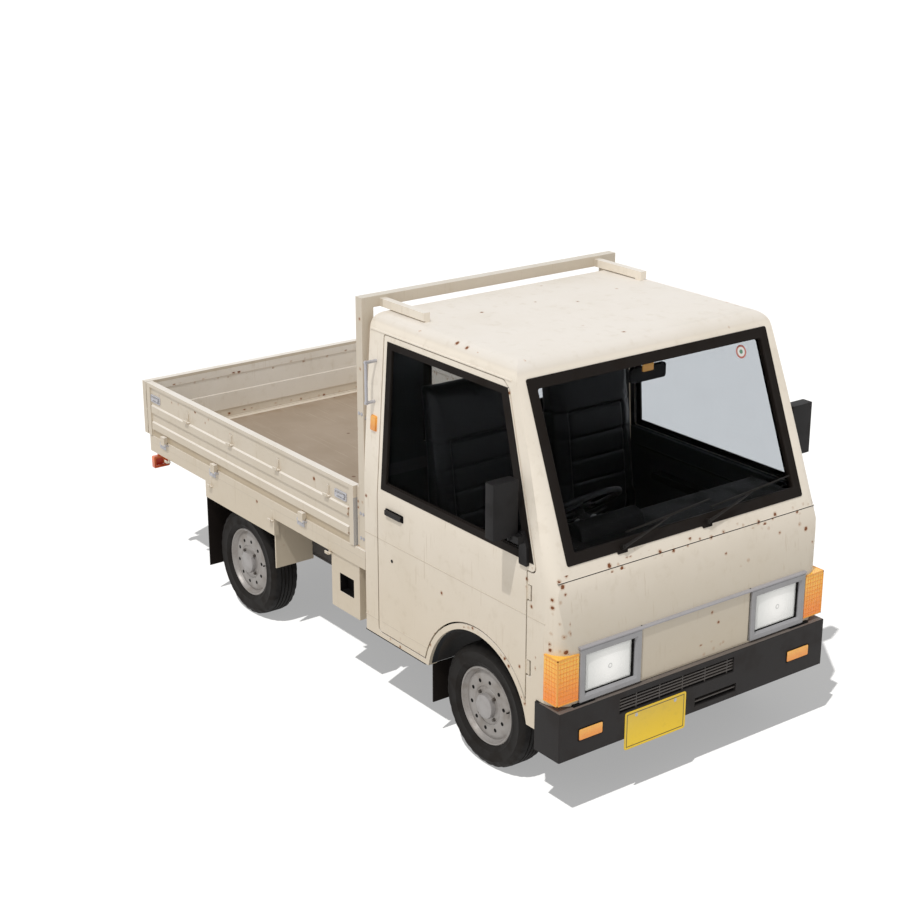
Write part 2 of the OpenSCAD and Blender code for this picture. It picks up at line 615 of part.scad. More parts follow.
module gate() {
    translate([0, -gate_y, 0]) gate_leaf(bed_rear_x, bed_front_x);
    at_gate_hinges() hinge_barrel(gate_hinge_y - gate_y);
}
module gate_right() color(CREAM) gate();
module gate_left() color(CREAM) mirror([0, 1, 0]) gate();
module tailgate() color(CREAM) {
    rotate([0, 0, -90]) translate([0, tail_x - gate_t, 0]) gate_leaf(-gate_y, gate_y);
    at_tail_hinges() hinge_barrel(tail_x - gate_t - tail_hinge_x);
}
side_box_x = [cab_rear_x - 299, cab_rear_x - 74];
module side_box() color(CREAM) difference() {
    box([side_box_x[0], -sill_y + 8, cab_foot_z], [side_box_x[1], -sill_y + 90, sill_foot_z]);
    box([side_box_x[0] + 67, -BIG, cab_foot_z + 90], [side_box_x[1] - 46, -sill_y + 50, cab_foot_z + 178]);
}
flap_t = 6;
flap_x = arch_x - sqrt(pow(arch_r, 2) - pow(arch_z - cab_foot_z, 2));
module mud_flaps() color(DARK) both() {
    box([flap_x - flap_t, -inner_y - 20, 165], [flap_x, -tub_in_y - 160, cab_foot_z]);
    box([rear_axle_x - 318 - flap_t, -sill_y + 10, 150], [rear_axle_x - 318, -spring_y - 118, sill_foot_z]);
}

// ---- doors ----
module door_layer(outer, inner) intersection() {
    cab_shell(outer, inner);
    box([0, -BIG, 0], [BIG, -side_split_y, BIG]);
}
module door() {
    difference() {
        union() {
            intersection() {
                door_layer(0, door_skin);
                along_y(-BIG, 0) door_outline();
            }
            intersection() {
                door_layer(door_skin, wall);
                along_y(-BIG, 0) offset(delta = -door_flange) door_outline();
            }
        }
        along_y(-BIG, 0) door_window();
    }
    for (z = hinge_z) difference() {
        union() {
            rod_z(hinge_x, -hw + hinge_in, hinge_r, z, z + hinge_h);
            box([door_front_x, -hw + hinge_in - 3, z], [hinge_x, -hw + hinge_in + 3, z + hinge_h]);
        }
        rod_z(hinge_x, -hw + hinge_in, hinge_pin_r + PIN_PLAY, z - 1, z + hinge_h + 1);
    }
}
module door_glass() intersection() {
    cab_shell(glass_in, glass_in + glass_t);
    along_y(-BIG, -side_split_y) door_window();
}
mirror_w = 120;
mirror_h = 225;
mirror_d = 55;
mirror_x = sash_x - 147;
mirror_z = side_window_z + 95;
foot_x = mirror_x + 55;
module mirror_arm() {
    along_y(-hw - 12, -side_y(side_window_z + 110) + 1) translate([foot_x, side_window_z])
        polygon(rounded([[0, -22, 6], [50, -22, 6], [45, 60, 10], [15, 110, 6], [0, 110, 6]]));
    box([foot_x - 20, -hw - 40, mirror_z - 25], [foot_x + 30, -hw - 5, mirror_z + 5]);
    along_z(mirror_z, mirror_z + mirror_h) translate([0, -hw - 14]) polygon(rounded([
        [mirror_x, -mirror_w, 6], [mirror_x + mirror_d, -mirror_w, 6], [mirror_x + mirror_d, 0, 6],
        [mirror_x, 0, 6]]));
}
module door_right() color(CREAM) door();
module door_left() color(CREAM) mirror([0, 1, 0]) door();
module door_glass_right() color("lightblue", 0.5) door_glass();
module door_glass_left() color("lightblue", 0.5) mirror([0, 1, 0]) door_glass();
module mirror_right() color(GREY) difference() { mirror_arm(); cab_solid(0); }
module mirror_left() color(GREY) mirror([0, 1, 0]) difference() { mirror_arm(); cab_solid(0); }

// ---- wheels ----
module knuckle() difference() {
    union() {
        box([front_axle_x - 35, -king_y - 24, tyre_r - 70], [front_axle_x + 35, -king_y + 16, tyre_r + 70]);
        rod_y(front_axle_x, tyre_r, 95, -wheel_y + 10, -wheel_y + 24);
        rod_y(front_axle_x, tyre_r, hub_r, -wheel_y - 20, -wheel_y + 24);
    }
    rod_z(front_axle_x, -king_y, king_r + PIN_PLAY, 0, 2 * tyre_r);
}
module knuckle_right() color(DARK) knuckle();
module knuckle_left() color(DARK) mirror([0, 1, 0]) knuckle();
disc_holes = 10;
hub_top = 21;
// Half section of the rim, x from the axle and y along it, outboard upward
module rim() rotate([90, 0, 0]) difference() {
    rotate_extrude() polygon([[rim_r - 26, -56], [rim_r, -56], [rim_r, -48], [rim_in_r, -44],
        [rim_in_r, 44], [rim_r, 48], [rim_r, 56], [rim_r - 26, 52], [rim_r - 26, 34], [118, 44],
        [70, 26], [48, 34], [40, 34], [36, 62], [12, 66], [0, 66], [0, hub_top],
        [hub_r + PIN_PLAY, hub_top],
        [hub_r + PIN_PLAY, -8], [60, -8], [60, 18], [112, 34], [rim_r - 26, 22]]);
    for (i = [0 : disc_holes - 1]) rotate([0, 0, i * 360 / disc_holes])
        translate([126, 0, 0]) cylinder(r = 9, h = 60);
}
module tyre() rotate([90, 0, 0]) rotate_extrude($fn = 64) polygon(rounded([
    [rim_in_r, -44], [rim_r, -48], [rim_r + 1, -57], [rim_r + 8, -tyre_w * 0.44, 4],
    [tyre_r - 45, -tyre_w / 2, 30],
    [tyre_r - 2, -tyre_w * 0.44, 16], [tyre_r, 0], [tyre_r - 2, tyre_w * 0.44, 16],
    [tyre_r - 45, tyre_w / 2, 30], [rim_r + 8, tyre_w * 0.44, 4], [rim_r + 1, 57], [rim_r, 48],
    [rim_in_r, 44]]));
module at_wheel(x) translate([x, -wheel_y, tyre_r]) children();
module rim_front_right() color(STEEL) at_wheel(front_axle_x) rim();
module tyre_front_right() color(DARK) at_wheel(front_axle_x) tyre();
module rim_front_left() mirror([0, 1, 0]) rim_front_right();
module tyre_front_left() mirror([0, 1, 0]) tyre_front_right();
module rim_rear_right() color(STEEL) at_wheel(rear_axle_x) rim();
module tyre_rear_right() color(DARK) at_wheel(rear_axle_x) tyre();
module rim_rear_left() mirror([0, 1, 0]) rim_rear_right();
module tyre_rear_left() mirror([0, 1, 0]) tyre_rear_right();

chassis_rails();
cross_members();
engine_block();
front_suspension();
rear_axle();
fuel_tank();
exhaust();
cab_floor();
front_panel();
cab_side_right();
cab_side_left();
roof_panel();
rear_wall();
windscreen();
rear_window();
window_seals();
front_bumper();
headlamps();
corner_lamps();
number_plates();
dashboard();
seats();
wipers();
grab_handles();
bed_floor();
bed_frame();
guard_frame();
gate_hinges();
side_box();
mud_flaps();
rear_lamps();
door_right();
door_glass_right();
mirror_right();
door_left();
door_glass_left();
mirror_left();
gate_right();
gate_left();
tailgate();
knuckle_right();
knuckle_left();
steering_wheel();
rim_front_right();
tyre_front_right();
rim_front_left();
tyre_front_left();
rim_rear_right();
tyre_rear_right();
rim_rear_left();
tyre_rear_left();
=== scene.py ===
"""Kei pick-up truck: the looks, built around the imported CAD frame.

Metres; +X forward, +Y left, +Z up; the origin is on the ground under the middle of the truck.
"""
import json
import math

import bmesh
import bpy
from mathutils import Matrix, Vector


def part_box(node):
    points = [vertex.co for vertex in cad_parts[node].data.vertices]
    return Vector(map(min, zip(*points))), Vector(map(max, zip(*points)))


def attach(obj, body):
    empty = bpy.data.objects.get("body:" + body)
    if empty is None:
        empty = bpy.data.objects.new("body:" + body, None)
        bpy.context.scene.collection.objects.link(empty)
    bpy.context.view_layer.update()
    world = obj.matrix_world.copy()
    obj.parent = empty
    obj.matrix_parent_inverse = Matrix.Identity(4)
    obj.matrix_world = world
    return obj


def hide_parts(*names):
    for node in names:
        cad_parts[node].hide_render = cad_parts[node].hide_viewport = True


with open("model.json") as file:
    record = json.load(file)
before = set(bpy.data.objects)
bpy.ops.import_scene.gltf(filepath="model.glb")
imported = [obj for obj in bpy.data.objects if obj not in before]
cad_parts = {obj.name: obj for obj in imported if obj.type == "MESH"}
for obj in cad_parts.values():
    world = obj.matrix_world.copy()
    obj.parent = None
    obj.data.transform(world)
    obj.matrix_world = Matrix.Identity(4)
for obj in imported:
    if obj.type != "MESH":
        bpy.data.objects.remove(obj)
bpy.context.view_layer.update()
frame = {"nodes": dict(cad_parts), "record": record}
NODES = frame["nodes"]
SIDES = (("right", -1), ("left", 1))


# ---- shapes -------------------------------------------------------------------------------

class Piece:
    """Closed shapes gathered in one mesh, which becomes a named object on a body."""

    def __init__(self):
        self.mesh = bmesh.new()

    def solid(self, rings, close=False):
        """Joins rings of points, each of the same length, into one closed skin."""
        made = [[self.mesh.verts.new(point) for point in ring] for ring in rings]
        pairs = list(zip(made, made[1:]))
        if close:
            pairs.append((made[-1], made[0]))
        for low, high in pairs:
            for i in range(len(low)):
                j = (i + 1) % len(low)
                self.mesh.faces.new((low[i], low[j], high[j], high[i]))
        if not close:
            self.mesh.faces.new(made[0][::-1])
            self.mesh.faces.new(made[-1])
        return self

    def box(self, low, high, turn=None):
        """A block between two corners, given in either order."""
        (x0, x1), (y0, y1), (z0, z1) = (sorted(pair) for pair in zip(low, high))
        turn = turn or Matrix.Identity(4)
        flat = [(x0, y0), (x1, y0), (x1, y1), (x0, y1)]
        return self.solid([[turn @ Vector((x, y, z)) for x, y in flat] for z in (z0, z1)])

    def prism(self, outline, a, b, axis="y"):
        """A flat outline carried from a to b along an axis. It holds the two other coordinates."""
        return self.solid([[along(axis, level, point) for point in outline] for level in (a, b)])

    def rod(self, start, end, radius, end_radius=None, sides=20):
        end_radius = radius if end_radius is None else end_radius
        return self.tube([start, end], [radius, end_radius], sides)

    def tube(self, path, radius, sides=10, close=False):
        """A round tube along a path; radius is a number or one number for each point."""
        path = [Vector(point) for point in path]
        radii = radius if isinstance(radius, (list, tuple)) else [radius] * len(path)
        rings, up = [], None
        for i, point in enumerate(path):
            after = path[(i + 1) % len(path)] if close or i + 1 < len(path) else point
            before = path[i - 1] if close or i else point
            ahead = (after - before).normalized()
            up = up or (Vector((0, 0, 1)) if abs(ahead.z) < 0.9 else Vector((1, 0, 0)))
            side = ahead.cross(up).normalized()
            up = side.cross(ahead).normalized()
            turns = [2 * math.pi * k / sides for k in range(sides)]
            rings.append([point + radii[i] * (math.cos(t) * side + math.sin(t) * up) for t in turns])
        return self.solid(rings, close)

    def lathe(self, profile, centre, axis="y", sides=48):
        """A closed profile of (radius, height) points turned about an axis through a centre."""
        rings = []
        for k in range(sides):
            turn = 2 * math.pi * k / sides
            rings.append([Vector(centre) + along(axis, h, (r * math.cos(turn), r * math.sin(turn)))
                          for r, h in profile])
        return self.solid(rings, close=True)

    def frame(self, loops):
        """A ring whose section is the list of loops, each an outline of the same length."""
        sections = [[loop[i] for loop in loops] for i in range(len(loops[0]))]
        return self.solid(sections, close=True)

    def build(self, name, look, slot=None, body="chassis", bevel=0.0, smooth=30, segments=2):
        bmesh.ops.recalc_face_normals(self.mesh, faces=self.mesh.faces)
        data = bpy.data.meshes.new(name)
        self.mesh.to_mesh(data)
        self.mesh.free()
        return place(name, data, body, look, slot or slot_of(look), bevel, smooth, segments)


def along(axis, level, point):
    """A point at a level on one axis, with its two other coordinates in x, y, z order."""
    a, b = point
    return Vector({"x": (level, a, b), "y": (a, level, b), "z": (a, b, level)}[axis])


def place(name, data, body, look, slot, bevel=0.0, smooth=30, segments=2):
    piece = bpy.data.objects.new(name, data)
    bpy.context.scene.collection.objects.link(piece)
    data.materials.clear()
    data.materials.append(look)
    for face in data.polygons:
        face.use_smooth = smooth > 0
    if smooth:
        data.set_sharp_from_angle(angle=math.radians(smooth))
    if bevel:
        rounding = piece.modifiers.new("edges", "BEVEL")
        rounding.width = bevel
        rounding.segments = segments
        rounding.limit_method = "ANGLE"
        rounding.angle_limit = math.radians(35)
        rounding.harden_normals = True
    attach(piece, body)
    return piece


def rectangle(a0, a1, b0, b1, radius=0.0, steps=3):
    """Corner points of a rectangle, counter-clockwise, with round corners."""
    a0, a1, b0, b1 = *sorted((a0, a1)), *sorted((b0, b1))
    corners = ((a1, b1, 0), (a0, b1, 90), (a0, b0, 180), (a1, b0, 270))
    if not radius:
        return [(a, b) for a, b, _ in corners]
    points = []
    for a, b, start in corners:
        ca = a - radius if a == a1 else a + radius
        cb = b - radius if b == b1 else b + radius
        for k in range(steps + 1):
            turn = math.radians(start + 90 * k / steps)
            points.append((ca + radius * math.cos(turn), cb + radius * math.sin(turn)))
    return points


# ---- the cab's planes ---------------------------------------------------------------------

CAB_REAR, ROOF_Z, DECK_END = 0.354, 1.775, 0.346   # DECK_END parts the bed from the cab
HALF_WIDTH, WAIST, LEAN = 0.729, 1.000, 0.06676
SCREEN_FOOT, SCREEN_TILT = (1.601, 1.034), math.radians(21.5)
SCREEN_HALF, SCREEN_LENGTH = 0.642, 0.7276
NOSE_X, NOSE_TOP_X, NOSE_BEND = 1.661, 1.617, 0.698
NOSE_SLOPE, SCREEN_SLOPE = 0.146, 0.394


def side_y(z):
    return HALF_WIDTH - max(0.0, z - WAIST) * LEAN


def nose_x(z):
    return NOSE_X - max(0.0, z - NOSE_BEND) / (WAIST - NOSE_BEND) * (NOSE_X - NOSE_TOP_X)


def on_screen(y, rise, out=0.0):
    """A point in the windscreen's plane: rise up its slope, and out of it."""
    x, z = SCREEN_FOOT
    return Vector((x - rise * math.sin(SCREEN_TILT) + out * math.cos(SCREEN_TILT), y,
                   z + rise * math.cos(SCREEN_TILT) + out * math.sin(SCREEN_TILT)))


def on_side(x, z, out, sign):
    """A point on the cab's side, out of it by out."""
    return Vector((x, sign * (side_y(z) + out), z))


# ---- materials ----------------------------------------------------------------------------

def srgb(red, green, blue):
    """A display colour, 0 to 255, as the linear colour that shaders take."""
    return tuple(((v / 255 + 0.055) / 1.055) ** 2.4 if v > 10 else v / 3294.6
                 for v in (red, green, blue)) + (1.0,)


class Look:
    """One procedural material. Each method adds nodes and returns their output."""

    def __init__(self, name, **sockets):
        self.material = bpy.data.materials.new(name)
        self.material.use_nodes = True
        self.tree = self.material.node_tree
        self.shader = self.tree.nodes["Principled BSDF"]
        self.bump_chain = None
        self.where = self.node("TexCoord").outputs["Object"]
        split = self.node("SeparateXYZ")
        self.put(split.inputs[0], self.where)
        self.x, self.y, self.z = split.outputs
        for key, value in sockets.items():
            self.put(self.shader.inputs[key.replace("_", " ")], value)

    def node(self, kind, **settings):
        made = self.tree.nodes.new("ShaderNode" + kind)
        for key, value in settings.items():
            setattr(made, key, value)
        return made

    def put(self, socket, value):
        if isinstance(value, bpy.types.NodeSocket):
            self.tree.links.new(value, socket)
        else:
            socket.default_value = value

    def math(self, operation, *values):
        made = self.node("Math", operation=operation)
        for socket, value in zip(made.inputs, values):
            self.put(socket, value)
        return made.outputs[0]

    def normal(self, axis):
        split = self.node("SeparateXYZ")
        self.put(split.inputs[0], self.node("NewGeometry").outputs["Normal"])
        return split.outputs["XYZ".index(axis)]

    def scaled(self, size, stretch):
        mapping = self.node("Mapping")
        self.put(mapping.inputs["Vector"], self.where)
        mapping.inputs["Scale"].default_value = [1 / (size * s) for s in stretch]
        return mapping.outputs[0]

    def noise(self, size, detail=3.0, stretch=(1, 1, 1), rough=0.55):
        made = self.node("TexNoise")
        self.put(made.inputs["Vector"], self.scaled(size, stretch))
        made.inputs["Scale"].default_value = 1.0
        made.inputs["Detail"].default_value = detail
        made.inputs["Roughness"].default_value = rough
        return made.outputs[0]

    def cells(self, size, stretch=(1, 1, 1)):
        """Distance to the nearest cell centre, and two lots drawn for the cell."""
        made = self.node("TexVoronoi")
        self.put(made.inputs["Vector"], self.scaled(size, stretch))
        made.inputs["Scale"].default_value = 1.0
        split = self.node("SeparateColor")
        self.put(split.inputs[0], made.outputs["Color"])
        return made.outputs["Distance"], split.outputs[0], split.outputs[1]

    def ramp(self, value, low, high, start=0.0, end=1.0, smooth=True):
        made = self.node("MapRange", interpolation_type="SMOOTHSTEP" if smooth else "LINEAR")
        for key, number in zip(("Value", "From Min", "From Max", "To Min", "To Max"),
                               (value, low, high, start, end)):
            self.put(made.inputs[key], number)
        return made.outputs[0]

    def near(self, value, centre, width):
        """1 at the centre, 0 from width on."""
        away = self.math("ABSOLUTE", self.math("SUBTRACT", value, centre))
        return self.ramp(away, 0.5 * width, width, 1.0, 0.0)

    def within(self, value, low, high):
        middle, half = (low + high) / 2, (high - low) / 2
        away = self.math("ABSOLUTE", self.math("SUBTRACT", value, middle))
        return self.math("LESS_THAN", away, half)

    def product(self, *values):
        total = values[0]
        for value in values[1:]:
            total = self.math("MULTIPLY", total, value)
        return total

    def union(self, *values):
        total = values[0]
        for value in values[1:]:
            total = self.math("MAXIMUM", total, value)
        return total

    def mix(self, factor, a, b):
        made = self.node("Mix", data_type="RGBA")
        self.put(made.inputs[0], factor)
        self.put(made.inputs[6], a)
        self.put(made.inputs[7], b)
        return made.outputs[2]

    def over(self, tone, colour, *masks):
        """Lays a display colour over a tone where all the masks are 1."""
        return self.mix(self.product(*masks), tone, srgb(*colour))

    def bump(self, height, depth, strength=1.0):
        """Adds relief; height runs from 0 to 1 and depth is its size in metres."""
        made = self.node("Bump")
        self.put(made.inputs["Height"], height)
        made.inputs["Distance"].default_value = depth
        made.inputs["Strength"].default_value = strength
        if self.bump_chain:
            self.put(made.inputs["Normal"], self.bump_chain)
        self.bump_chain = made.outputs[0]

    def done(self, colour=None, roughness=None):
        if colour is not None:
            self.put(self.shader.inputs["Base Color"], colour)
        if roughness is not None:
            self.put(self.shader.inputs["Roughness"], roughness)
        if self.bump_chain:
            self.put(self.shader.inputs["Normal"], self.bump_chain)
        return self.material


RUST = srgb(150, 92, 56)
DARK_RUST = srgb(92, 54, 34)
STAIN = srgb(178, 138, 102)
# Where rust gathers on the paint: ranges of x, y and z, and the share of spots that show
RUST_ZONES = (
    ((1.56, 1.70), (-0.70, 0.72), (0.966, 1.008), 0.85),
    ((1.60, 1.70), (0.00, 0.27), (0.488, 0.548), 0.85),
    ((1.54, 1.70), (-0.725, -0.655), (0.700, 0.975), 0.80),
    ((1.54, 1.70), (0.60, 0.735), (0.710, 0.990), 0.40),
    ((1.42, 1.53), (-0.735, -0.66), (0.480, 1.640), 0.16),
    ((0.45, 1.02), (-0.735, -0.70), (0.345, 0.400), 0.30),
    ((0.45, 1.02), (0.70, 0.735), (0.345, 0.400), 0.30),
    ((-1.66, -1.64), (-0.70, 0.70), (0.915, 0.940), 0.55),
    ((-1.66, -1.64), (-0.70, 0.70), (0.702, 0.722), 0.75),
    ((-1.60, 0.10), (-0.73, -0.70), (0.900, 0.950), 0.14),
    ((0.21, 0.28), (-0.73, -0.67), (0.745, 0.880), 0.60),
    ((0.26, 0.345), (-0.73, -0.60), (0.700, 1.800), 0.16),
    ((-1.60, 0.26), (0.67, 0.70), (0.905, 0.940), 0.65),
    ((-1.60, 0.26), (0.67, 0.70), (0.780, 0.860), 0.12),
)
ARCH = (1.150, 0.280, 0.352)


def cream_paint():
    """Old cream paint: whiter on upward faces, browner low down, with stains, streaks and rust, and painted
    light and shade in places.
    """
    look = Look("cream_paint", Specular_IOR_Level=0.32)
    x, y, z = look.x, look.y, look.z
    side = look.math("ABSOLUTE", y)
    # upward faces take a whiter cream
    up = look.ramp(look.normal("Z"), 0.25, 0.9)
    tone = look.mix(up, srgb(231, 221, 206), srgb(236, 230, 222))
    flank = look.ramp(up, 0.0, 0.5, 1.0, 0.0)
    # painted light: the cab's upright faces are lightened from the waist upwards
    cab = look.math("GREATER_THAN", x, DECK_END)
    tone = look.over(tone, (247, 238, 224), cab, flank, look.ramp(z, 0.80, 1.25))
    ahead = look.product(look.ramp(look.normal("X"), 0.55, 0.9), look.ramp(z, 1.00, 0.66))
    tone = look.over(tone, (206, 198, 184), ahead)
    bed = look.math("LESS_THAN", x, DECK_END)
    tone = look.over(tone, (206, 195, 178), bed, flank, 0.6)
    tone = look.over(tone, (218, 211, 200), bed, up, look.ramp(z, 1.0, 1.5))
    inner = look.product(look.within(side, 0.0, 0.699), look.within(x, -1.669, 0.262),
                         look.within(z, 0.69, 0.966), flank)
    tone = look.over(tone, (248, 245, 239), inner, 0.8)
    low = look.product(look.ramp(z, 0.95, 0.40), flank)
    tone = look.over(tone, (212, 196, 170), low, 0.42)
    patches = look.ramp(look.noise(0.38, 4.0), 0.42, 0.72)
    tone = look.over(tone, (205, 192, 168), patches, 0.16)
    grime = look.product(look.ramp(look.noise(0.05, 5.0), 0.52, 0.78), 0.22)
    tone = look.over(tone, (196, 182, 158), grime)
    # thin streaks that run down upright faces
    runs = look.ramp(look.noise(0.012, 2.0, (1, 1, 22)), 0.58, 0.74)
    upright = look.ramp(look.math("ABSOLUTE", look.normal("Z")), 0.3, 0.1, 0.0, 1.0)
    broken = look.ramp(look.noise(0.11, 2.0), 0.48, 0.62)
    tone = look.over(tone, (184, 166, 138), runs, upright, broken, 0.30)
    # dirt and painted shade in the gates' lower recess and along the foot of the bed's inner faces
    recess = look.product(look.within(z, 0.70, 0.738), look.within(x, -1.606, 0.222),
                          look.within(side, 0.690, 0.7155))
    foot = look.product(look.within(z, 0.69, 0.742), look.within(side, 0.0, 0.69),
                        look.within(x, -1.66, 0.27))
    tone = look.over(tone, (176, 156, 124), look.union(recess, look.product(foot, 0.6)), 0.62)
    # rust spots
    zones = [look.product(look.within(x, *xs), look.within(y, *ys), look.within(z, *zs), share)
             for xs, ys, zs, share in RUST_ZONES]
    reach = look.math("SQRT", look.math("ADD", look.math("POWER", look.math("SUBTRACT", x, ARCH[0]), 2),
                                        look.math("POWER", look.math("SUBTRACT", z, ARCH[1]), 2)))
    zones.append(look.product(look.near(reach, ARCH[2], 0.018), look.math("GREATER_THAN", side, 0.715),
                              look.math("GREATER_THAN", z, 0.30), 0.62))
    share = look.math("ADD", look.union(*zones), 0.012)
    spot, lot, size = look.cells(0.034)
    ragged = look.math("ADD", spot, look.ramp(look.noise(0.006, 2.0), 0.0, 1.0, -0.12, 0.12, False))
    radius = look.ramp(size, 0.0, 1.0, 0.07, 0.25, False)
    chosen = look.math("LESS_THAN", lot, share)
    core = look.product(chosen, look.ramp(look.math("SUBTRACT", ragged, radius), -0.03, 0.03, 1.0, 0.0))
    halo = look.product(chosen, look.ramp(look.math("SUBTRACT", ragged, radius), -0.02, 0.24, 1.0, 0.0))
    tone = look.mix(look.product(halo, 0.55), tone, STAIN)
    tone = look.mix(core, tone, look.mix(look.noise(0.008, 2.0), RUST, DARK_RUST))
    # short scratches down to the primer on the roof's edges
    scratch, drawn, _ = look.cells(0.075, (1, 0.5, 0.5))
    edge = look.product(look.within(side, 0.565, 0.665), look.within(z, 1.715, 1.7745))
    line = look.product(edge, look.math("LESS_THAN", drawn, 0.28), look.math("LESS_THAN", scratch, 0.20),
                        look.math("GREATER_THAN", look.noise(0.02, 2.0, (1, 1, 1)), 0.47))
    tone = look.over(tone, (196, 150, 118), line, 0.55)
    # painted shade: the cab's inner faces, all that lies a skin's depth inside its outer planes, are painted
    # dark grey, darkest in a band just above the dash
    skin = 0.036

    def leaning(value, start, slope):
        above = look.math("MAXIMUM", look.math("SUBTRACT", z, start), 0.0)
        return look.math("ADD", value, look.math("MULTIPLY", above, slope))
    inside = look.product(look.math("LESS_THAN", leaning(side, WAIST, LEAN), HALF_WIDTH - 0.016),
                          look.within(x, CAB_REAR + 0.030, 2.0), look.within(z, 0.35, ROOF_Z - skin),
                          look.math("LESS_THAN", leaning(x, NOSE_BEND, NOSE_SLOPE), NOSE_X - skin),
                          look.math("LESS_THAN", leaning(x, SCREEN_FOOT[1], SCREEN_SLOPE),
                                    SCREEN_FOOT[0] - skin))
    band = look.mix(look.within(z, 1.045, 1.100), srgb(36, 38, 41), srgb(58, 60, 63))
    tone = look.mix(inside, tone, band)
    # painted shade: a grey strip on the front end faces of the gates
    gate_end_shade = look.product(look.within(x, 0.2612, 0.2632), look.within(z, 0.70, 0.925))
    tone = look.over(tone, (182, 180, 178), gate_end_shade)
    orange_peel = look.noise(0.004, 2.0)
    look.bump(orange_peel, 0.0002, 0.25)
    look.bump(look.noise(0.35, 2.0), 0.004, 0.35)
    look.bump(look.math("SUBTRACT", 1.0, core), 0.0004, 0.6)
    wear = look.ramp(look.noise(0.15, 4.0), 0.3, 0.7, 0.40, 0.56)
    return look.done(tone, look.math("MAXIMUM", wear, look.product(core, 0.9)))


def grained(name, base, dirt, roughness, grain=0.0015, depth=0.0002, metallic=0.0, patch=0.12,
            amount=0.35, specular=0.4):
    """A plain material with grain, drifting dirt and uneven gloss. Colours are display colours."""
    base, dirt = srgb(*base), srgb(*dirt)
    look = Look(name, Metallic=metallic, Specular_IOR_Level=specular)
    drift = look.ramp(look.noise(patch, 5.0), 0.40, 0.75)
    specks = look.ramp(look.noise(patch / 9, 3.0), 0.55, 0.75)
    tone = look.mix(look.product(drift, amount), base, dirt)
    tone = look.mix(look.product(specks, amount * 0.6), tone, dirt)
    look.bump(look.noise(grain, 2.0), depth, 0.5)
    shine = look.ramp(drift, 0.0, 1.0, roughness - 0.07, roughness + 0.12)
    return look.done(tone, shine)


def deck_steel():
    """Painted steel floor worn brown-grey by cargo, with long scuffs and rust at the edges."""
    look = Look("deck_steel", Specular_IOR_Level=0.3)
    wear = look.ramp(look.noise(0.55, 5.0), 0.35, 0.70)
    tone = look.mix(look.product(wear, 0.5), srgb(164, 148, 131), srgb(149, 134, 116))
    scuffs = look.ramp(look.noise(0.010, 3.0, (30, 1, 1)), 0.60, 0.70)
    tone = look.over(tone, (190, 178, 160), scuffs, 0.30)
    edge = look.union(look.ramp(look.math("ABSOLUTE", look.y), 0.60, 0.69),
                      look.ramp(look.x, -1.50, -1.64))
    tone = look.over(tone, (140, 118, 92), edge, look.ramp(look.noise(0.08, 4.0), 0.35, 0.65), 0.5)
    spot, lot, size = look.cells(0.07)
    rim = look.ramp(look.math("ABSOLUTE", look.y), 0.645, 0.655, 0.10, 0.55)
    rust = look.product(look.math("LESS_THAN", lot, rim),
                        look.ramp(look.math("SUBTRACT", spot, look.product(size, 0.14)),
                                  0.0, 0.05, 1.0, 0.0))
    tone = look.mix(look.product(rust, 0.75), tone, DARK_RUST)
    look.bump(look.noise(0.004, 3.0), 0.0003, 0.5)
    look.bump(look.noise(0.28, 2.0), 0.004, 0.5)
    return look.done(tone, look.ramp(wear, 0.0, 1.0, 0.55, 0.75))


def clear_glass(name, tint):
    """Tinted glass with a faint film of dust."""
    look = Look(name, Transmission_Weight=1.0, IOR=1.04, Roughness=0.0)
    film = look.ramp(look.noise(0.09, 4.0), 0.50, 0.80, 0.0, 0.10)
    return look.done(look.mix(film, srgb(*tint), srgb(188, 190, 190)))


def headlamp_lens():
    """A pale pressed lens, ringed, with a painted reflection bright in the middle and greyer towards its
    corners, and a faint painted glow.
    """
    # a faint painted glow in place of reflected sky light
    look = Look("lamp_lens", Coat_Weight=0.6, Coat_Roughness=0.08, Specular_IOR_Level=0.5,
                Emission_Color=(1, 1, 0.97, 1), Emission_Strength=0.10)
    across = look.math("SUBTRACT", look.math("ABSOLUTE", look.y), LENS_Y)
    rise = look.math("SUBTRACT", look.z, LENS_Z)
    reach = look.math("SQRT", look.math("ADD", look.product(across, across), look.product(rise, rise)))
    # painted reflection: white in the middle, greyer towards the corners
    tone = look.mix(look.ramp(reach, 0.035, 0.150), srgb(255, 255, 253), srgb(214, 216, 214))
    rings = look.math("SINE", look.math("MULTIPLY", reach, 2 * math.pi / 0.0065))
    rings = look.ramp(rings, -1.0, 1.0)
    fade = look.ramp(reach, 0.02, 0.06)
    tone = look.over(tone, (150, 153, 152), rings, fade, 0.16)
    eye = look.near(reach, 0.0085, 0.0035)
    tone = look.over(tone, (150, 152, 150), eye, 0.55)
    look.bump(look.product(rings, fade), 0.0008, 0.6)
    return look.done(tone, 0.18)


def coloured_lens(name, bright, deep, pitch, low, high):
    """A ribbed lens, lighter above and deeper below, with fine prism lines in both directions and a faint
    painted glow of its deep colour.
    """
    bright, deep = srgb(*bright), srgb(*deep)
    # a faint painted glow, though the lamp is off
    look = Look(name, Coat_Weight=0.4, Coat_Roughness=0.12, Specular_IOR_Level=0.5,
                Emission_Color=deep, Emission_Strength=0.06)
    tone = look.mix(look.ramp(look.z, high, low), bright, deep)
    run = look.math("ADD", look.x, look.y)
    lines = []
    for value in (run, look.z):
        wave = look.math("ABSOLUTE", look.math("SINE", look.math("MULTIPLY", value, math.pi / pitch)))
        lines.append(look.ramp(wave, 0.0, 0.22, 1.0, 0.0))
    grid = look.union(*lines)
    tone = look.mix(look.product(grid, 0.34), tone, deep)
    tone = look.over(tone, (150, 100, 60), look.ramp(look.noise(0.02, 3.0), 0.5, 0.7), 0.12)
    look.bump(look.math("SUBTRACT", 1.0, grid), 0.0008, 0.7)
    return look.done(tone, 0.28)


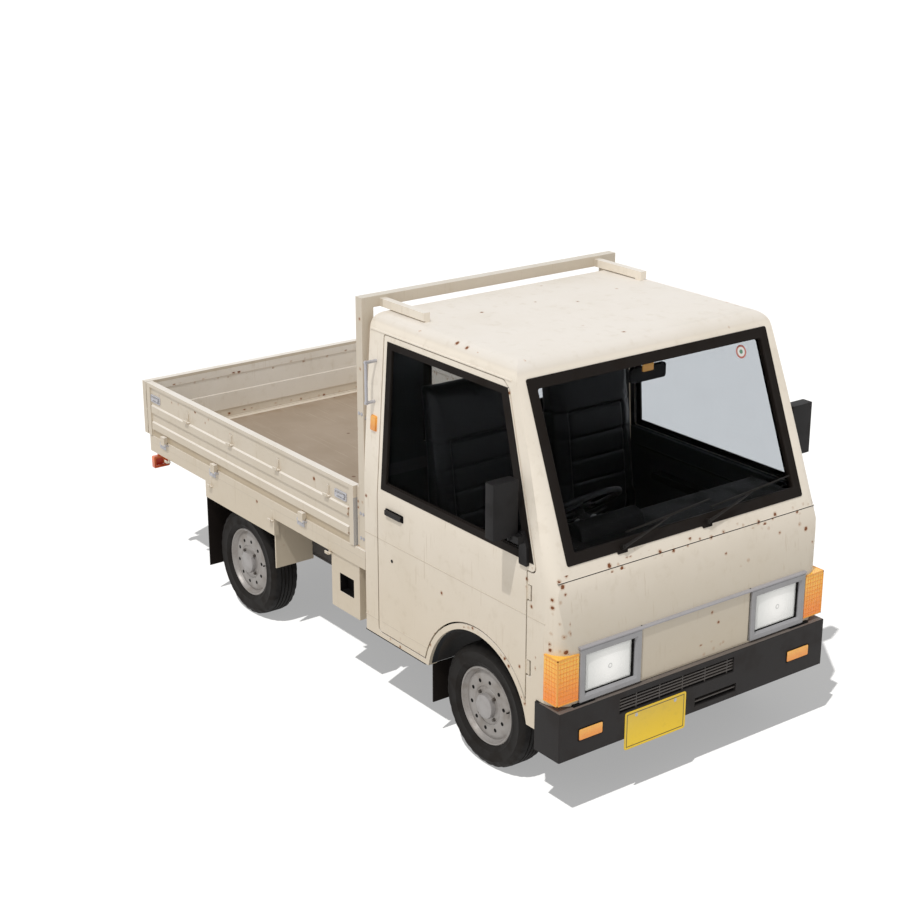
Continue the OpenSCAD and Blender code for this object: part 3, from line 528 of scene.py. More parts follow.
def tyre_rubber():
    """Dusty black rubber, darker across the tread."""
    look = Look("tyre", Specular_IOR_Level=0.25)
    dust = look.ramp(look.noise(0.06, 5.0), 0.42, 0.72)
    tone = look.mix(look.product(dust, 0.45), srgb(21, 18, 16), srgb(34, 29, 25))
    face = look.ramp(look.math("ABSOLUTE", look.normal("Y")), 0.2, 0.7, 1.0, 0.0)
    tone = look.over(tone, (17, 16, 16), face, 0.85)
    look.bump(look.noise(0.003, 2.0), 0.0003, 0.5)
    return look.done(tone, look.ramp(dust, 0.0, 1.0, 0.72, 0.9))


def seat_vinyl():
    """Dark grey vinyl with a fine leather grain and paler wear."""
    look = Look("seat_vinyl", Specular_IOR_Level=0.22)
    worn = look.ramp(look.noise(0.12, 4.0), 0.50, 0.75)
    tone = look.mix(look.product(worn, 0.5), srgb(16, 17, 19), srgb(27, 28, 29))
    distance, _, _ = look.cells(0.0035)
    look.bump(distance, 0.0004, 0.6)
    return look.done(tone, look.ramp(worn, 0.0, 1.0, 0.42, 0.58))


def number_plate():
    """Blank yellow plate with a dark line inside its edge and patchy dust."""
    look = Look("plate_yellow", Specular_IOR_Level=0.45)
    dust = look.ramp(look.noise(0.03, 4.0), 0.5, 0.75)
    tone = look.mix(look.product(dust, 0.25), srgb(243, 205, 54), srgb(208, 176, 62))
    middle = look.math("SUBTRACT", look.y, PLATE_Y)
    rise = look.math("SUBTRACT", look.z, PLATE_Z)
    edge = look.math("MAXIMUM", look.math("SUBTRACT", look.math("ABSOLUTE", middle), 0.150),
                     look.math("SUBTRACT", look.math("ABSOLUTE", rise), 0.0675))
    line = look.product(look.near(edge, 0.0035, 0.0028), look.math("GREATER_THAN", look.x, 0.0))
    look.bump(look.ramp(edge, 0.0, 0.006, 1.0, 0.0), 0.0015, 0.6)
    return look.done(look.over(tone, (60, 52, 30), line, 0.85), 0.42)


LENS_Y, LENS_Z = 0.465, 0.598
PLATE_Y, PLATE_Z = -0.2335, 0.295

paint = cream_paint()
deck = deck_steel()
black_paint = grained("chassis_black", (34, 32, 31), (78, 68, 58), 0.62, patch=0.2, amount=0.5)
engine_grey = grained("engine_metal", (112, 110, 106), (66, 58, 50), 0.55, 0.004, 0.0008, 0.6,
                      amount=0.6)
exhaust_grey = grained("exhaust_steel", (128, 120, 112), (112, 74, 48), 0.5, 0.003, 0.0004, 0.7,
                       0.08, 0.6)
glass = clear_glass("glass", (214, 217, 220))
side_glass = clear_glass("side_glass", (216, 219, 222))
rubber = grained("seal_rubber", (25, 20, 17), (38, 32, 27), 0.72, amount=0.3, specular=0.12)
# black for real black parts, and also laid as painted shade in the bumper's slots, the wheel holes and the side
# box's mouth
void_black = grained("slot_black", (17, 16, 16), (30, 28, 27), 0.8, amount=0.2, specular=0.1)
bumper_grey = grained("bumper_plastic", (42, 40, 40), (62, 56, 53), 0.66, 0.0012, 0.0002,
                      amount=0.22, specular=0.18)
bezel_grey = grained("lamp_bezel", (158, 158, 161), (128, 124, 122), 0.42, amount=0.25)
trim_grey = grained("trim_strip", (166, 164, 168), (134, 128, 128), 0.38, amount=0.25)
lamp_white = headlamp_lens()
amber = coloured_lens("amber_lens", (255, 200, 74), (252, 142, 30), 0.0115, 0.50, 0.70)
amber_small = coloured_lens("amber_small", (255, 190, 84), (246, 150, 48), 0.012, 0.33, 0.39)
red_lens = coloured_lens("red_lens", (236, 96, 58), (196, 52, 34), 0.010, 0.49, 0.58)
plate_yellow = number_plate()
mirror_black = grained("mirror_black", (24, 23, 24), (36, 33, 32), 0.6, amount=0.3, specular=0.2)
dash_plastic = grained("dash_plastic", (24, 23, 22), (36, 34, 31), 0.7, 0.0018, 0.0003, amount=0.3,
                       specular=0.18)
vinyl = seat_vinyl()
zinc = grained("zinc_steel", (190, 190, 196), (160, 156, 156), 0.42, 0.002, 0.0002, 0.25, 0.04)
wheel_grey = grained("wheel_steel", (156, 152, 149), (118, 106, 94), 0.48, 0.0025, 0.0002, 0.35,
                     0.07, 0.4)
hub_grey = grained("hub_metal", (164, 161, 160), (134, 128, 124), 0.42, 0.002, 0.0001, 0.3, 0.05)
rubber_tyre = tyre_rubber()
marker_amber = coloured_lens("marker_amber", (250, 182, 80), (232, 146, 52), 0.009, 1.27, 1.34)
mirror_silver = grained("mirror_silver", (208, 212, 214), (180, 182, 184), 0.06, 0.02, 0.0001,
                        1.0, amount=0.1)
sticker_red = grained("sticker_red", (186, 112, 102), (170, 112, 104), 0.5, amount=0.2)
sticker_white = grained("sticker_white", (226, 228, 224), (206, 206, 200), 0.5, amount=0.2)
sticker_green = grained("sticker_green", (96, 140, 116), (96, 130, 110), 0.5, amount=0.2)

FINISHES = {
    "cream_paint": paint, "deck_steel": deck, "chassis_black": black_paint, "engine_metal": engine_grey,
    "exhaust_steel": exhaust_grey, "glass": glass, "seal_rubber": rubber, "bumper_plastic": bumper_grey,
    "lamp_lens": lamp_white, "amber_lens": amber, "plate_yellow": plate_yellow,
    "dash_plastic": dash_plastic, "seat_vinyl": vinyl, "zinc_steel": zinc, "wheel_steel": wheel_grey,
    "tyre": rubber_tyre}


def slot_of(look):
    """The slot whose own material this is; any other material goes with the plastic parts."""
    return next((key for key, value in FINISHES.items() if value == look), "bumper_plastic")


def dress_cad_nodes():
    """Gives every carried-over CAD node the material of its slot."""
    for name, node in NODES.items():
        slot = node.data.materials[0].name.split(".")[0]
        node.data.materials.clear()
        special = {"door_glass": side_glass, "mirror_rig": mirror_black, "mirror_lef": mirror_black,
                   "steering_w": mirror_black}
        node.data.materials.append(special.get(name[:10], FINISHES[slot]))


dress_cad_nodes()

BODY_OF = {node: body for body, nodes in frame["record"]["behaviour"]["bodies"].items() for node in nodes}


def soften(names, bevel=0.0012, smooth=26):
    """Stands a copy with smooth curves and eased edges in for each CAD node."""
    for name in names:
        data = NODES[name].data.copy()
        look = data.materials[0]
        mesh = bmesh.new()
        mesh.from_mesh(data)
        bmesh.ops.remove_doubles(mesh, verts=mesh.verts, dist=0.00001)
        bmesh.ops.dissolve_limit(mesh, angle_limit=math.radians(0.6), verts=mesh.verts, edges=mesh.edges)
        clean = bpy.data.meshes.new(name + "_skin")
        mesh.to_mesh(clean)
        mesh.free()
        if "custom_normal" in clean.attributes:
            clean.attributes.remove(clean.attributes["custom_normal"])
        piece = place(name + "_skin", clean, BODY_OF[name], look, slot_of(look), bevel, smooth)
        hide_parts(name)


soften(["roof_panel", "cab_side_right", "cab_side_left", "front_panel", "rear_wall", "door_right", "door_left",
        "guard_frame", "gate_right", "gate_left", "tailgate", "bed_frame", "side_box", "mirror_right",
        "mirror_left", "front_bumper"])


# ---- camera, light and floor --------------------------------------------------------------

def shown_white(tree, plain, colour):
    """A shader that camera, mirror and glass rays see in place of the plain one."""
    path = tree.nodes.new("ShaderNodeLightPath")
    seen = path.outputs["Is Camera Ray"]
    for key in ("Is Glossy Ray", "Is Transmission Ray"):
        either = tree.nodes.new("ShaderNodeMath")
        either.operation = "MAXIMUM"
        tree.links.new(seen, either.inputs[0])
        tree.links.new(path.outputs[key], either.inputs[1])
        seen = either.outputs[0]
    mix = tree.nodes.new("ShaderNodeMixShader")
    tree.links.new(seen, mix.inputs[0])
    tree.links.new(plain, mix.inputs[1])
    tree.links.new(colour, mix.inputs[2])
    return mix.outputs[0]


CAMERA_AT = (6.340, -4.726, 3.685)
CAMERA_YAW, CAMERA_PITCH = math.radians(143.31), math.radians(-19.26)
SKY = 0.58
SUN = 1.52
FLOOR_SUN = 9.0
SUN_FROM = (0.198, -0.425, 0.883)


def set_stage():
    scene = bpy.context.scene
    scene.view_settings.view_transform = "Standard"
    camera = bpy.data.objects.new("camera", bpy.data.cameras.new("camera"))
    camera.data.sensor_width = 36
    camera.data.lens = 71.59
    camera.location = CAMERA_AT
    ahead = Vector((math.cos(CAMERA_YAW) * math.cos(CAMERA_PITCH),
                    math.sin(CAMERA_YAW) * math.cos(CAMERA_PITCH), math.sin(CAMERA_PITCH)))
    camera.rotation_euler = ahead.to_track_quat("-Z", "Y").to_euler()
    scene.collection.objects.link(camera)
    scene.camera = camera

    world = bpy.data.worlds.new("sky")
    world.use_nodes = True
    tree = world.node_tree
    sky, white = tree.nodes["Background"], tree.nodes.new("ShaderNodeBackground")
    sky.inputs["Color"].default_value = (1.0, 0.995, 0.985, 1)
    sky.inputs["Strength"].default_value = SKY
    white.inputs["Color"].default_value = (1, 1, 1, 1)
    shown = shown_white(tree, sky.outputs[0], white.outputs[0])
    tree.links.new(shown, tree.nodes["World Output"].inputs["Surface"])
    scene.world = world

    sun = bpy.data.objects.new("sun", bpy.data.lights.new("sun", "SUN"))
    sun.data.energy = SUN
    sun.data.angle = math.radians(0.8)
    sun.data.color = (1.0, 0.985, 0.96)
    sun.rotation_euler = Vector(SUN_FROM).to_track_quat("Z", "Y").to_euler()
    scene.collection.objects.link(sun)

    floor_data = bpy.data.meshes.new("floor")
    reach = 60.0
    floor_data.from_pydata([(-reach, -reach, 0), (reach, -reach, 0), (reach, reach, 0),
                            (-reach, reach, 0)], [], [(0, 1, 2, 3)])
    floor = bpy.data.objects.new("floor", floor_data)
    scene.collection.objects.link(floor)
    surface = bpy.data.materials.new("floor")
    surface.use_nodes = True
    tree = surface.node_tree
    tree.nodes.remove(tree.nodes["Principled BSDF"])
    dull, pale = tree.nodes.new("ShaderNodeBsdfDiffuse"), tree.nodes.new("ShaderNodeBsdfDiffuse")
    dull.inputs["Color"].default_value = (0.205, 0.202, 0.198, 1)
    pale.inputs["Color"].default_value = (0.22, 0.22, 0.22, 1)
    glow, lift = tree.nodes.new("ShaderNodeAddShader"), tree.nodes.new("ShaderNodeEmission")
    lift.inputs["Strength"].default_value = 0.36
    tree.links.new(pale.outputs[0], glow.inputs[0])
    tree.links.new(lift.outputs[0], glow.inputs[1])
    shown = shown_white(tree, dull.outputs[0], glow.outputs[0])
    tree.links.new(shown, tree.nodes["Material Output"].inputs["Surface"])
    floor_data.materials.append(surface)

    # a second sun, which lights the floor alone, keeps it white around a plain grey shadow
    lit = bpy.data.collections.new("floor_only")
    lit.objects.link(floor)
    floor_sun = bpy.data.objects.new("floor_sun", sun.data.copy())
    floor_sun.data.energy = FLOOR_SUN
    floor_sun.rotation_euler = sun.rotation_euler
    floor_sun.light_linking.receiver_collection = lit
    scene.collection.objects.link(floor_sun)


set_stage()


# ---- nose: lamps, trim, bumper, plates ----------------------------------------------------

def headlamps():
    for side, sign in SIDES:
        def loop(inset, x, radius=0.004, outer=((0.305, 0.623), (0.483, 0.710))):
            (y0, y1), (z0, z1) = outer
            flat = rectangle(y0 + inset, y1 - inset, z0 + inset, z1 - inset, radius, 2)
            return [Vector((x, sign * y, z)) for y, z in flat]
        bezel = Piece().frame([loop(0, 1.622), loop(0, 1.669), loop(0.004, 1.672), loop(0.022, 1.672),
                               loop(0.031, 1.664), loop(0.033, 1.650), loop(0.033, 1.622)])
        bezel = bezel.build("lamp_bezel_" + side, bezel_grey, "lamp_lens", smooth=25)
        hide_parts("headlamps")
        inner = ((0.337, 0.591), (0.511, 0.687))
        cup = Piece().frame([loop(0, 1.624, outer=inner), loop(0, 1.658, outer=inner),
                             loop(0.003, 1.661, outer=inner), loop(0.006, 1.656, outer=inner),
                             loop(0.009, 1.646, outer=inner), loop(0.009, 1.624, outer=inner)])
        cup.box((1.620, sign * 0.34, 0.514), (1.626, sign * 0.59, 0.684))
        cup.build("lamp_cup_" + side, void_black, smooth=25)
        lens_pane(side, sign)


def lens_pane(side, sign, columns=44, rows=32):
    """A domed pane with a rim step and a small boss in the middle."""
    half_w, half_h, foot = 0.118, 0.0815, 1.640

    def front(a, b):
        edge = min(1.0, 6 * min(1 - abs(a), 1 - abs(b)))
        across, rise = a * half_w, b * half_h
        reach = math.hypot(across, rise)
        boss = 0.0022 * max(0.0, 1 - reach / 0.011)
        rings = 0.0005 * math.sin(reach * 2 * math.pi / 0.013)
        dome = 0.006 * math.sin(edge * math.pi / 2) + 0.005 * (1 - a * a) * (1 - b * b)
        return 1.6535 + dome + boss + rings

    mesh = bmesh.new()
    grid = [[mesh.verts.new((front(a, b), sign * (LENS_Y + a * half_w), LENS_Z + b * half_h))
             for a in [2 * i / columns - 1 for i in range(columns + 1)]]
            for b in [2 * j / rows - 1 for j in range(rows + 1)]]
    for j in range(rows):
        for i in range(columns):
            mesh.faces.new((grid[j][i], grid[j][i + 1], grid[j + 1][i + 1], grid[j + 1][i]))
    rim = (grid[0] + [row[-1] for row in grid[1:]] + grid[-1][-2::-1]
           + [row[0] for row in grid[-2:0:-1]])
    back = [mesh.verts.new((foot, v.co.y, v.co.z)) for v in rim]
    for i in range(len(rim)):
        j = (i + 1) % len(rim)
        mesh.faces.new((rim[i], rim[j], back[j], back[i]))
    mesh.faces.new(back)
    pane = Piece()
    pane.mesh.free()
    pane.mesh = mesh
    pane.build("lamp_lens_" + side, lamp_white, smooth=40)


def nose_trim():
    half = 0.626
    section = [(1.640, 0.7090), (1.668, 0.7090), (1.6735, 0.7110), (1.6735, 0.7165), (1.670, 0.7195),
               (1.640, 0.7215)]
    Piece().prism(section, -half, half).build("nose_trim", trim_grey, bevel=0.001)
    seam = Piece()
    z = 0.984
    x = nose_x(z)
    seam.box((x - 0.004, -0.700, z - 0.0018), (x + 0.0008, 0.700, z + 0.0018))
    for sign in (-1, 1):
        seam.box((1.655, sign * 0.303, 0.486), (1.6617, sign * 0.300, 0.722))
    seam.build("nose_seams", void_black, "seal_rubber", smooth=0)
    lip = Piece().box((x - 0.002, -0.700, z + 0.0018), (x + 0.0014, 0.700, z + 0.0042))
    lip.build("nose_lip", paint, bevel=0.0006)
    pads = Piece()
    for sign in (-1, 1):
        pads.box((1.628, sign * 0.545, 0.4745), (1.673, sign * 0.655, 0.4835))
    pads.build("lamp_pads", void_black, "seal_rubber", bevel=0.002)
    panel = Piece().box((1.640, -0.296, 0.4845), (1.6635, 0.296, 0.7085))
    panel.build("nose_panel", paint, bevel=0.003)


def corner_lenses():
    """Raised border and prism ribs over the amber corner lamps."""
    for side, sign in SIDES:
        x0, x1, y0, y1, z0, z1 = 1.584, 1.667, 0.628, 0.735, 0.498, 0.694
        ribs = Piece()

        def bar(low, high):
            ribs.box((low[0], sign * low[1], low[2]), (high[0], sign * high[1], high[2]))
        rows, columns, deep = 10, 7, 5
        for k in range(1, rows):
            z = z0 + (z1 - z0) * k / rows
            bar((x1 - 0.001, y0 + 0.006, z - 0.0008), (x1 + 0.0008, y1 - 0.006, z + 0.0008))
            bar((x0 + 0.006, y1 - 0.001, z - 0.0008), (x1 - 0.006, y1 + 0.0008, z + 0.0008))
        for k in range(1, columns):
            y = y0 + (y1 - y0) * k / columns
            bar((x1 - 0.001, y - 0.0006, z0 + 0.006), (x1 + 0.0006, y + 0.0006, z1 - 0.006))
        for k in range(1, deep):
            x = x0 + (x1 - x0) * k / deep
            bar((x - 0.0006, y1 - 0.001, z0 + 0.006), (x + 0.0006, y1 + 0.0006, z1 - 0.006))
        ribs.build("corner_lamp_ribs_" + side, amber_line, "amber_lens", smooth=0)
        border = Piece()
        edge = y1 + 0.0015
        for low, high in ((z0, z0 + 0.006), (z1 - 0.006, z1 + 0.0015)):
            border.box((x1 - 0.001, sign * y0, low), (x1 + 0.0015, sign * edge, high))
            border.box((x0, sign * (y1 - 0.001), low), (x1 + 0.0015, sign * edge, high))
        border.box((x1 - 0.004, sign * (y1 - 0.004), z0), (x1 + 0.0015, sign * edge, z1))
        border.build("corner_lamp_rim_" + side, amber_edge, "amber_lens", bevel=0.0006)


BUMPER_X = 1.6875
SLOTS = ((-0.428, 0.200, 0.383, 0.451, 4, 5), (-0.016, 0.219, 0.289, 0.326, 1, 0))


def bumper_details():
    lining, bars = Piece(), Piece()
    for y0, y1, z0, z1, levels, posts in SLOTS:
        # painted shade: a black sheet behind each slot stands in for the shade inside the bumper
        lining.box((BUMPER_X - 0.0335, y0 - 0.001, z0 - 0.001), (BUMPER_X - 0.0295, y1 + 0.001, z1 + 0.001))
        for k in range(levels):
            z = z0 + (z1 - z0) * (k + 1) / (levels + 1)
            bars.box((BUMPER_X - 0.022, y0 - 0.001, z - 0.0032), (BUMPER_X - 0.006, y1 + 0.001, z + 0.0032))
        for k in range(posts):
            y = y0 + (y1 - y0) * (k + 0.75) / posts
            bars.box((BUMPER_X - 0.026, y - 0.003, z0 - 0.001), (BUMPER_X - 0.008, y + 0.003, z1 + 0.001))
    lining.build("bumper_slot_lining", void_black, smooth=0)
    bars.build("bumper_bars", bumper_bar, bevel=0.001)
    for side, y0, y1 in (("right", -0.638, -0.519), ("left", 0.518, 0.645)):
        holder = Piece().prism(rectangle(y0 - 0.004, y1 + 0.004, 0.332, 0.386, 0.004, 2),
                               BUMPER_X - 0.004, BUMPER_X + 0.0015, "x")
        holder.build("indicator_rim_" + side, void_black, smooth=25)
        lens = Piece().prism(rectangle(y0, y1, 0.336, 0.382, 0.005, 3), BUMPER_X - 0.004,
                             BUMPER_X + 0.0035, "x")
        ribs = 9
        for k in range(1, ribs):
            y = y0 + (y1 - y0) * k / ribs
            lens.rod((BUMPER_X + 0.0028, y, 0.339), (BUMPER_X + 0.0028, y, 0.379), 0.0012, sides=8)
        lens.build("indicator_" + side, amber_small, "amber_lens", bevel=0.001)
    lip = Piece().box((1.560, -0.735, 0.4725), (BUMPER_X - 0.004, 0.735, 0.4755))
    lip.build("bumper_top", bumper_top, bevel=0.001)


def plates():
    """Two blank plates with rolled rims and bolts, and the lamp over the rear one."""
    half, rise = 0.165, 0.0825
    for name, x, z, out in (("front", BUMPER_X, PLATE_Z, 1), ("rear", -1.668, 0.518, -1)):
        rings = []
        for inset, depth in ((0.0, -0.0008), (0.0, 0.0016), (0.0018, 0.0024), (0.0050, 0.0024),
                             (0.0064, 0.0014)):
            across, up = half - inset, rise - inset
            flat = rectangle(PLATE_Y - across, PLATE_Y + across, z - up, z + up, 0.010, 3)
            rings.append([Vector((x + out * depth, a, b)) for a, b in flat])
        plate = Piece().solid(rings).build("plate_" + name, plate_yellow, smooth=40)
        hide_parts("number_plates")
        bolts = Piece()
        for side in (-1, 1):
            at = Vector((x + out * 0.0010, PLATE_Y + side * 0.105, z + 0.060))
            bolts.rod(at, at + Vector((out * 0.0008, 0, 0)), 0.0085, 0.0075, 20)
            bolts.rod(at, at + Vector((out * 0.0028, 0, 0)), 0.0048, 0.0042, 6)
        bolts.build("plate_bolts_" + name, zinc, smooth=30)
    lamp = Piece().prism([(-1.687, 0.612), (-1.668, 0.612), (-1.666, 0.632), (-1.687, 0.632)],
                         PLATE_Y - 0.03, PLATE_Y + 0.03)
    lamp.build("plate_lamp", void_black, bevel=0.003)


amber_line = grained("amber_line", (240, 150, 62), (214, 126, 56), 0.35, amount=0.2)
amber_edge = grained("amber_edge", (244, 170, 74), (206, 130, 60), 0.35, amount=0.2)
bumper_bar = grained("bumper_bar", (74, 69, 66), (96, 90, 84), 0.5, amount=0.3)
bumper_top = grained("bumper_top", (112, 104, 99), (134, 124, 114), 0.6, amount=0.3, specular=0.3)

headlamps()
nose_trim()
corner_lenses()
bumper_details()
plates()


# ---- windscreen: wipers, sticker, inner mirror --------------------------------------------

WIPER_PIVOTS = (-0.365, 0.090)
SCREEN_SEAL = 0.045
REAR_WINDOW_Z, REAR_WINDOW_HALF, REAR_WINDOW_RISE = 1.160, 0.440, 0.420


def wipers():
    """Two parked wipers: a pivot cap, a tapered arm, and a blade on a bow."""
    out = (on_screen(0, 0, 1) - on_screen(0, 0, 0)).normalized()
    for n, pivot in enumerate(WIPER_PIVOTS):
        base = on_screen(pivot, 0.014, 0.006)
        start, end = on_screen(pivot + 0.035, 0.066, 0.010), on_screen(pivot + 0.495, 0.098, 0.010)
        middle = start.lerp(end, 0.52)
        low = on_screen(pivot + 0.10, 0.040, 0.024)
        arm = Piece().rod(base - out * 0.012, base + out * 0.016, 0.012, 0.0095, 16)
        arm.tube([base + out * 0.012, low, low.lerp(middle + out * 0.016, 0.6), middle + out * 0.006],
                 [0.0070, 0.0052, 0.0038, 0.0030], 10)
        arm = arm.build("wiper_arm_%d" % n, wiper_black, smooth=40)
        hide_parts("wipers")
        bow = [start, start.lerp(end, 0.25) + out * 0.007, middle + out * 0.009,
               start.lerp(end, 0.75) + out * 0.007, end]
        blade = Piece().tube(bow, [0.0020, 0.0028, 0.0034, 0.0028, 0.0020], 8)
        blade.tube([start - out * 0.002, end - out * 0.002], 0.0030, 6)
        blade.tube([start - out * 0.009, end - out * 0.009], 0.0022, 6)
        blade.build("wiper_blade_%d" % n, wiper_black, "seal_rubber", smooth=40)


def on_wall(y, rise, out):
    """A point of the rear window: across, up from its lower edge, and out of the wall."""
    return Vector((CAB_REAR - out, y, REAR_WINDOW_Z + rise))


def window_seal(name, at, half, length, width, deep):
    """A rubber frame: flat outside with a lip at each edge, and a step where the glass sits."""
    loops = []
    for inset, out in ((0.0, -deep), (0.0, 0.0030), (0.0030, 0.0052), (0.0080, 0.0040), (width - 0.009, 0.0040),
                       (width - 0.004, 0.0055), (width, 0.0030), (width, -deep)):
        flat = rectangle(-half + inset, half - inset, inset, length - inset, 0.010, 3)
        loops.append([at(a, b, out) for a, b in flat])
    seal = Piece().frame(loops).build(name, rubber, smooth=30)
    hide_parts("window_seals")


def seals():
    window_seal("screen_seal", on_screen, SCREEN_HALF, SCREEN_LENGTH, SCREEN_SEAL, 0.026)
    window_seal("rear_window_seal", on_wall, REAR_WINDOW_HALF, REAR_WINDOW_RISE, 0.060, 0.024)
    inset = SCREEN_SEAL - 0.006
    outline = rectangle(-SCREEN_HALF + inset, SCREEN_HALF - inset, inset, SCREEN_LENGTH - inset, 0.008, 3)
    pane = Piece().solid([[on_screen(a, b, out) for a, b in outline] for out in (-0.0170, -0.0120)])
    pane = pane.build("screen_glass", glass, smooth=0)
    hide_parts("windscreen")
    feet = Piece()
    for pivot in WIPER_PIVOTS:
        corners = [(-0.030, 0.012), (-0.024, -0.010), (0.024, -0.010), (0.030, 0.012)]
        feet.solid([[on_screen(pivot + a, b, out) for a, b in corners] for out in (-0.004, 0.0052)])
    feet.build("wiper_feet", rubber, bevel=0.0015)


def sticker():
    """A plain round inspection mark inside the top corner of the windscreen."""
    centre = (0.487, 0.645)
    for name, outer, inner, out, look in (("rim", 0.0285, 0.0205, -0.0094, sticker_red),
                                          ("face", 0.0205, 0.0, -0.0096, sticker_white),
                                          ("dot", 0.0090, 0.0, -0.0092, sticker_green)):
        disc = Piece()
        turns = [2 * math.pi * k / 40 for k in range(40)]
        ring = [[on_screen(centre[0] + r * math.cos(t), centre[1] + r * math.sin(t), level) for t in turns]
                for r, level in ((outer, out - 0.0004), (outer, out), (max(inner, 0.0005), out),
                                 (max(inner, 0.0005), out - 0.0004))]
        disc.frame(ring).build("sticker_" + name, look, "glass", smooth=0)


def inner_mirror():
    pane = Piece().prism(rectangle(-0.016, 0.166, 1.559, 1.614, 0.010, 3), 1.226, 1.228, "x")
    pane.build("inner_mirror_glass", mirror_silver, smooth=30)
    shell = Piece().prism(rectangle(-0.020, 0.170, 1.555, 1.618, 0.012, 3), 1.228, 1.246, "x")
    shell.tube([(1.244, 0.052, 1.600), (1.268, 0.040, 1.640), (1.300, 0.020, 1.690)], [0.008, 0.006, 0.009], 10)
    shell.rod((1.296, 0.020, 1.650), (1.296, 0.020, 1.700), 0.007, sides=10)
    shell.build("inner_mirror", mirror_black, bevel=0.003)
    tag = Piece().prism(rectangle(-0.010, 0.048, 1.618, 1.654, 0.004, 2), 1.294, 1.302, "x")
    tag.build("cab_lamp", marker_amber, "amber_lens", bevel=0.002)


wiper_black = grained("wiper_black", (24, 21, 19), (44, 38, 32), 0.6, amount=0.3, specular=0.2)
wipers()
seals()
sticker()
inner_mirror()


# ---- doors --------------------------------------------------------------------------------

WINDOW = ((0.490, 1.040), (1.4976, 1.040), (1.278, 1.669), (0.490, 1.669))


def inset_outline(corners, inset):
    """A convex outline moved in by a different inset on each of its sides."""
    count, lines = len(corners), []
    for i, (a, b) in enumerate(corners):
        c, d = corners[(i + 1) % count]
        length = math.hypot(c - a, d - b)
        nx, nz = -(d - b) / length, (c - a) / length
        lines.append((nx, nz, nx * a + nz * b + inset[i]))
    points = []
    for i in range(count):
        (a, b, e), (c, d, f) = lines[i - 1], lines[i]
        det = a * d - b * c
        points.append(((e * d - b * f) / det, (a * f - e * c) / det))
    return points


def door_seals():
    for side, sign in SIDES:
        loops = []
        for grow, out in ((-0.005, -0.004), (-0.005, 0.0020), (-0.003, 0.0030), (1.0, 0.0030), (1.08, -0.0015),
                          (1.08, -0.0095)):
            full = (0.026, 0.036, 0.024, 0.030)
            inset = [grow if grow < 0 else grow * f for f in full]
            loops.append([on_side(a, b, out, sign) for a, b in inset_outline(WINDOW, inset)])
        Piece().frame(loops).build("door_seal_" + side, rubber, body="door_" + side, smooth=25)
        bar = Piece()
        outline = ((0.52, 1.064), (1.46, 1.064), (1.457, 1.071), (0.52, 1.071))
        corners = [on_side(a, b, -0.0035, sign) for a, b in outline]
        back = [point - Vector((0, sign * 0.006, 0)) for point in corners]
        bar.solid([corners, back])
        bar.build("door_wiper_strip_" + side, rubber, body="door_" + side, smooth=0)


def door_handles():
    for side, sign in SIDES:
        x0, x1, z0, z1 = 0.522, 0.650, 0.930, 0.962
        face = HALF_WIDTH

        def at(points, out):
            return [Vector((a, sign * (face + out), b)) for a, b in points]
        tray = Piece().solid([at(rectangle(x0, x1, z0, z1, 0.004, 2), out) for out in (-0.002, 0.003)])
        tray.build("handle_tray_" + side, void_black, body="door_" + side, bevel=0.001)
        grip = Piece()
        grip.solid([at(rectangle(x0 + 0.004, x1 - 0.010, z0 + 0.004, z1 - 0.006, 0.005, 2), out)
                    for out in (0.003, 0.012)])
        grip.solid([at(rectangle(x0 + 0.010, x1 - 0.002, z1 - 0.010, z1 - 0.002, 0.003, 2), out)
                    for out in (0.008, 0.016)])
        grip.build("door_handle_" + side, bumper_grey, body="door_" + side, bevel=0.0015)
        lock = Piece().lathe([(0.0, face - 0.001), (0.0075, face - 0.001), (0.0075, face + 0.0012),
                              (0.0060, face + 0.0022), (0.0030, face + 0.0022), (0.0024, face + 0.0008),
                              (0.0, face + 0.0008)], (0.563, 0, 0.731), "y", 24)
        if sign < 0:
            bmesh.ops.scale(lock.mesh, vec=(1, -1, 1), verts=lock.mesh.verts)
        lock.build("door_lock_" + side, wiper_black, "zinc_steel", "door_" + side, smooth=30)


def mirrors():
    """The glass of each outer mirror, and the joint on its arm."""
    for side, sign in SIDES:
        low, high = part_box("mirror_" + side)
        outer = low.y if sign < 0 else high.y
        near, far = sorted((outer - sign * 0.008, outer - sign * 0.112))
        pane = Piece().prism(rectangle(near, far, high.z - 0.217, high.z - 0.008, 0.006, 3),
                             low.x - 0.0012, low.x + 0.002, "x")
        pane.build("mirror_glass_" + side, mirror_silver, body="door_" + side, smooth=25)
        foot = Vector((low.x + 0.030, outer - sign * 0.095, high.z - 0.226))
        clamp = Piece().tube([foot, foot + Vector((0.004, 0, -0.020))], [0.011, 0.009], 14)
        clamp.build("mirror_joint_" + side, mirror_black, body="door_" + side, smooth=40)


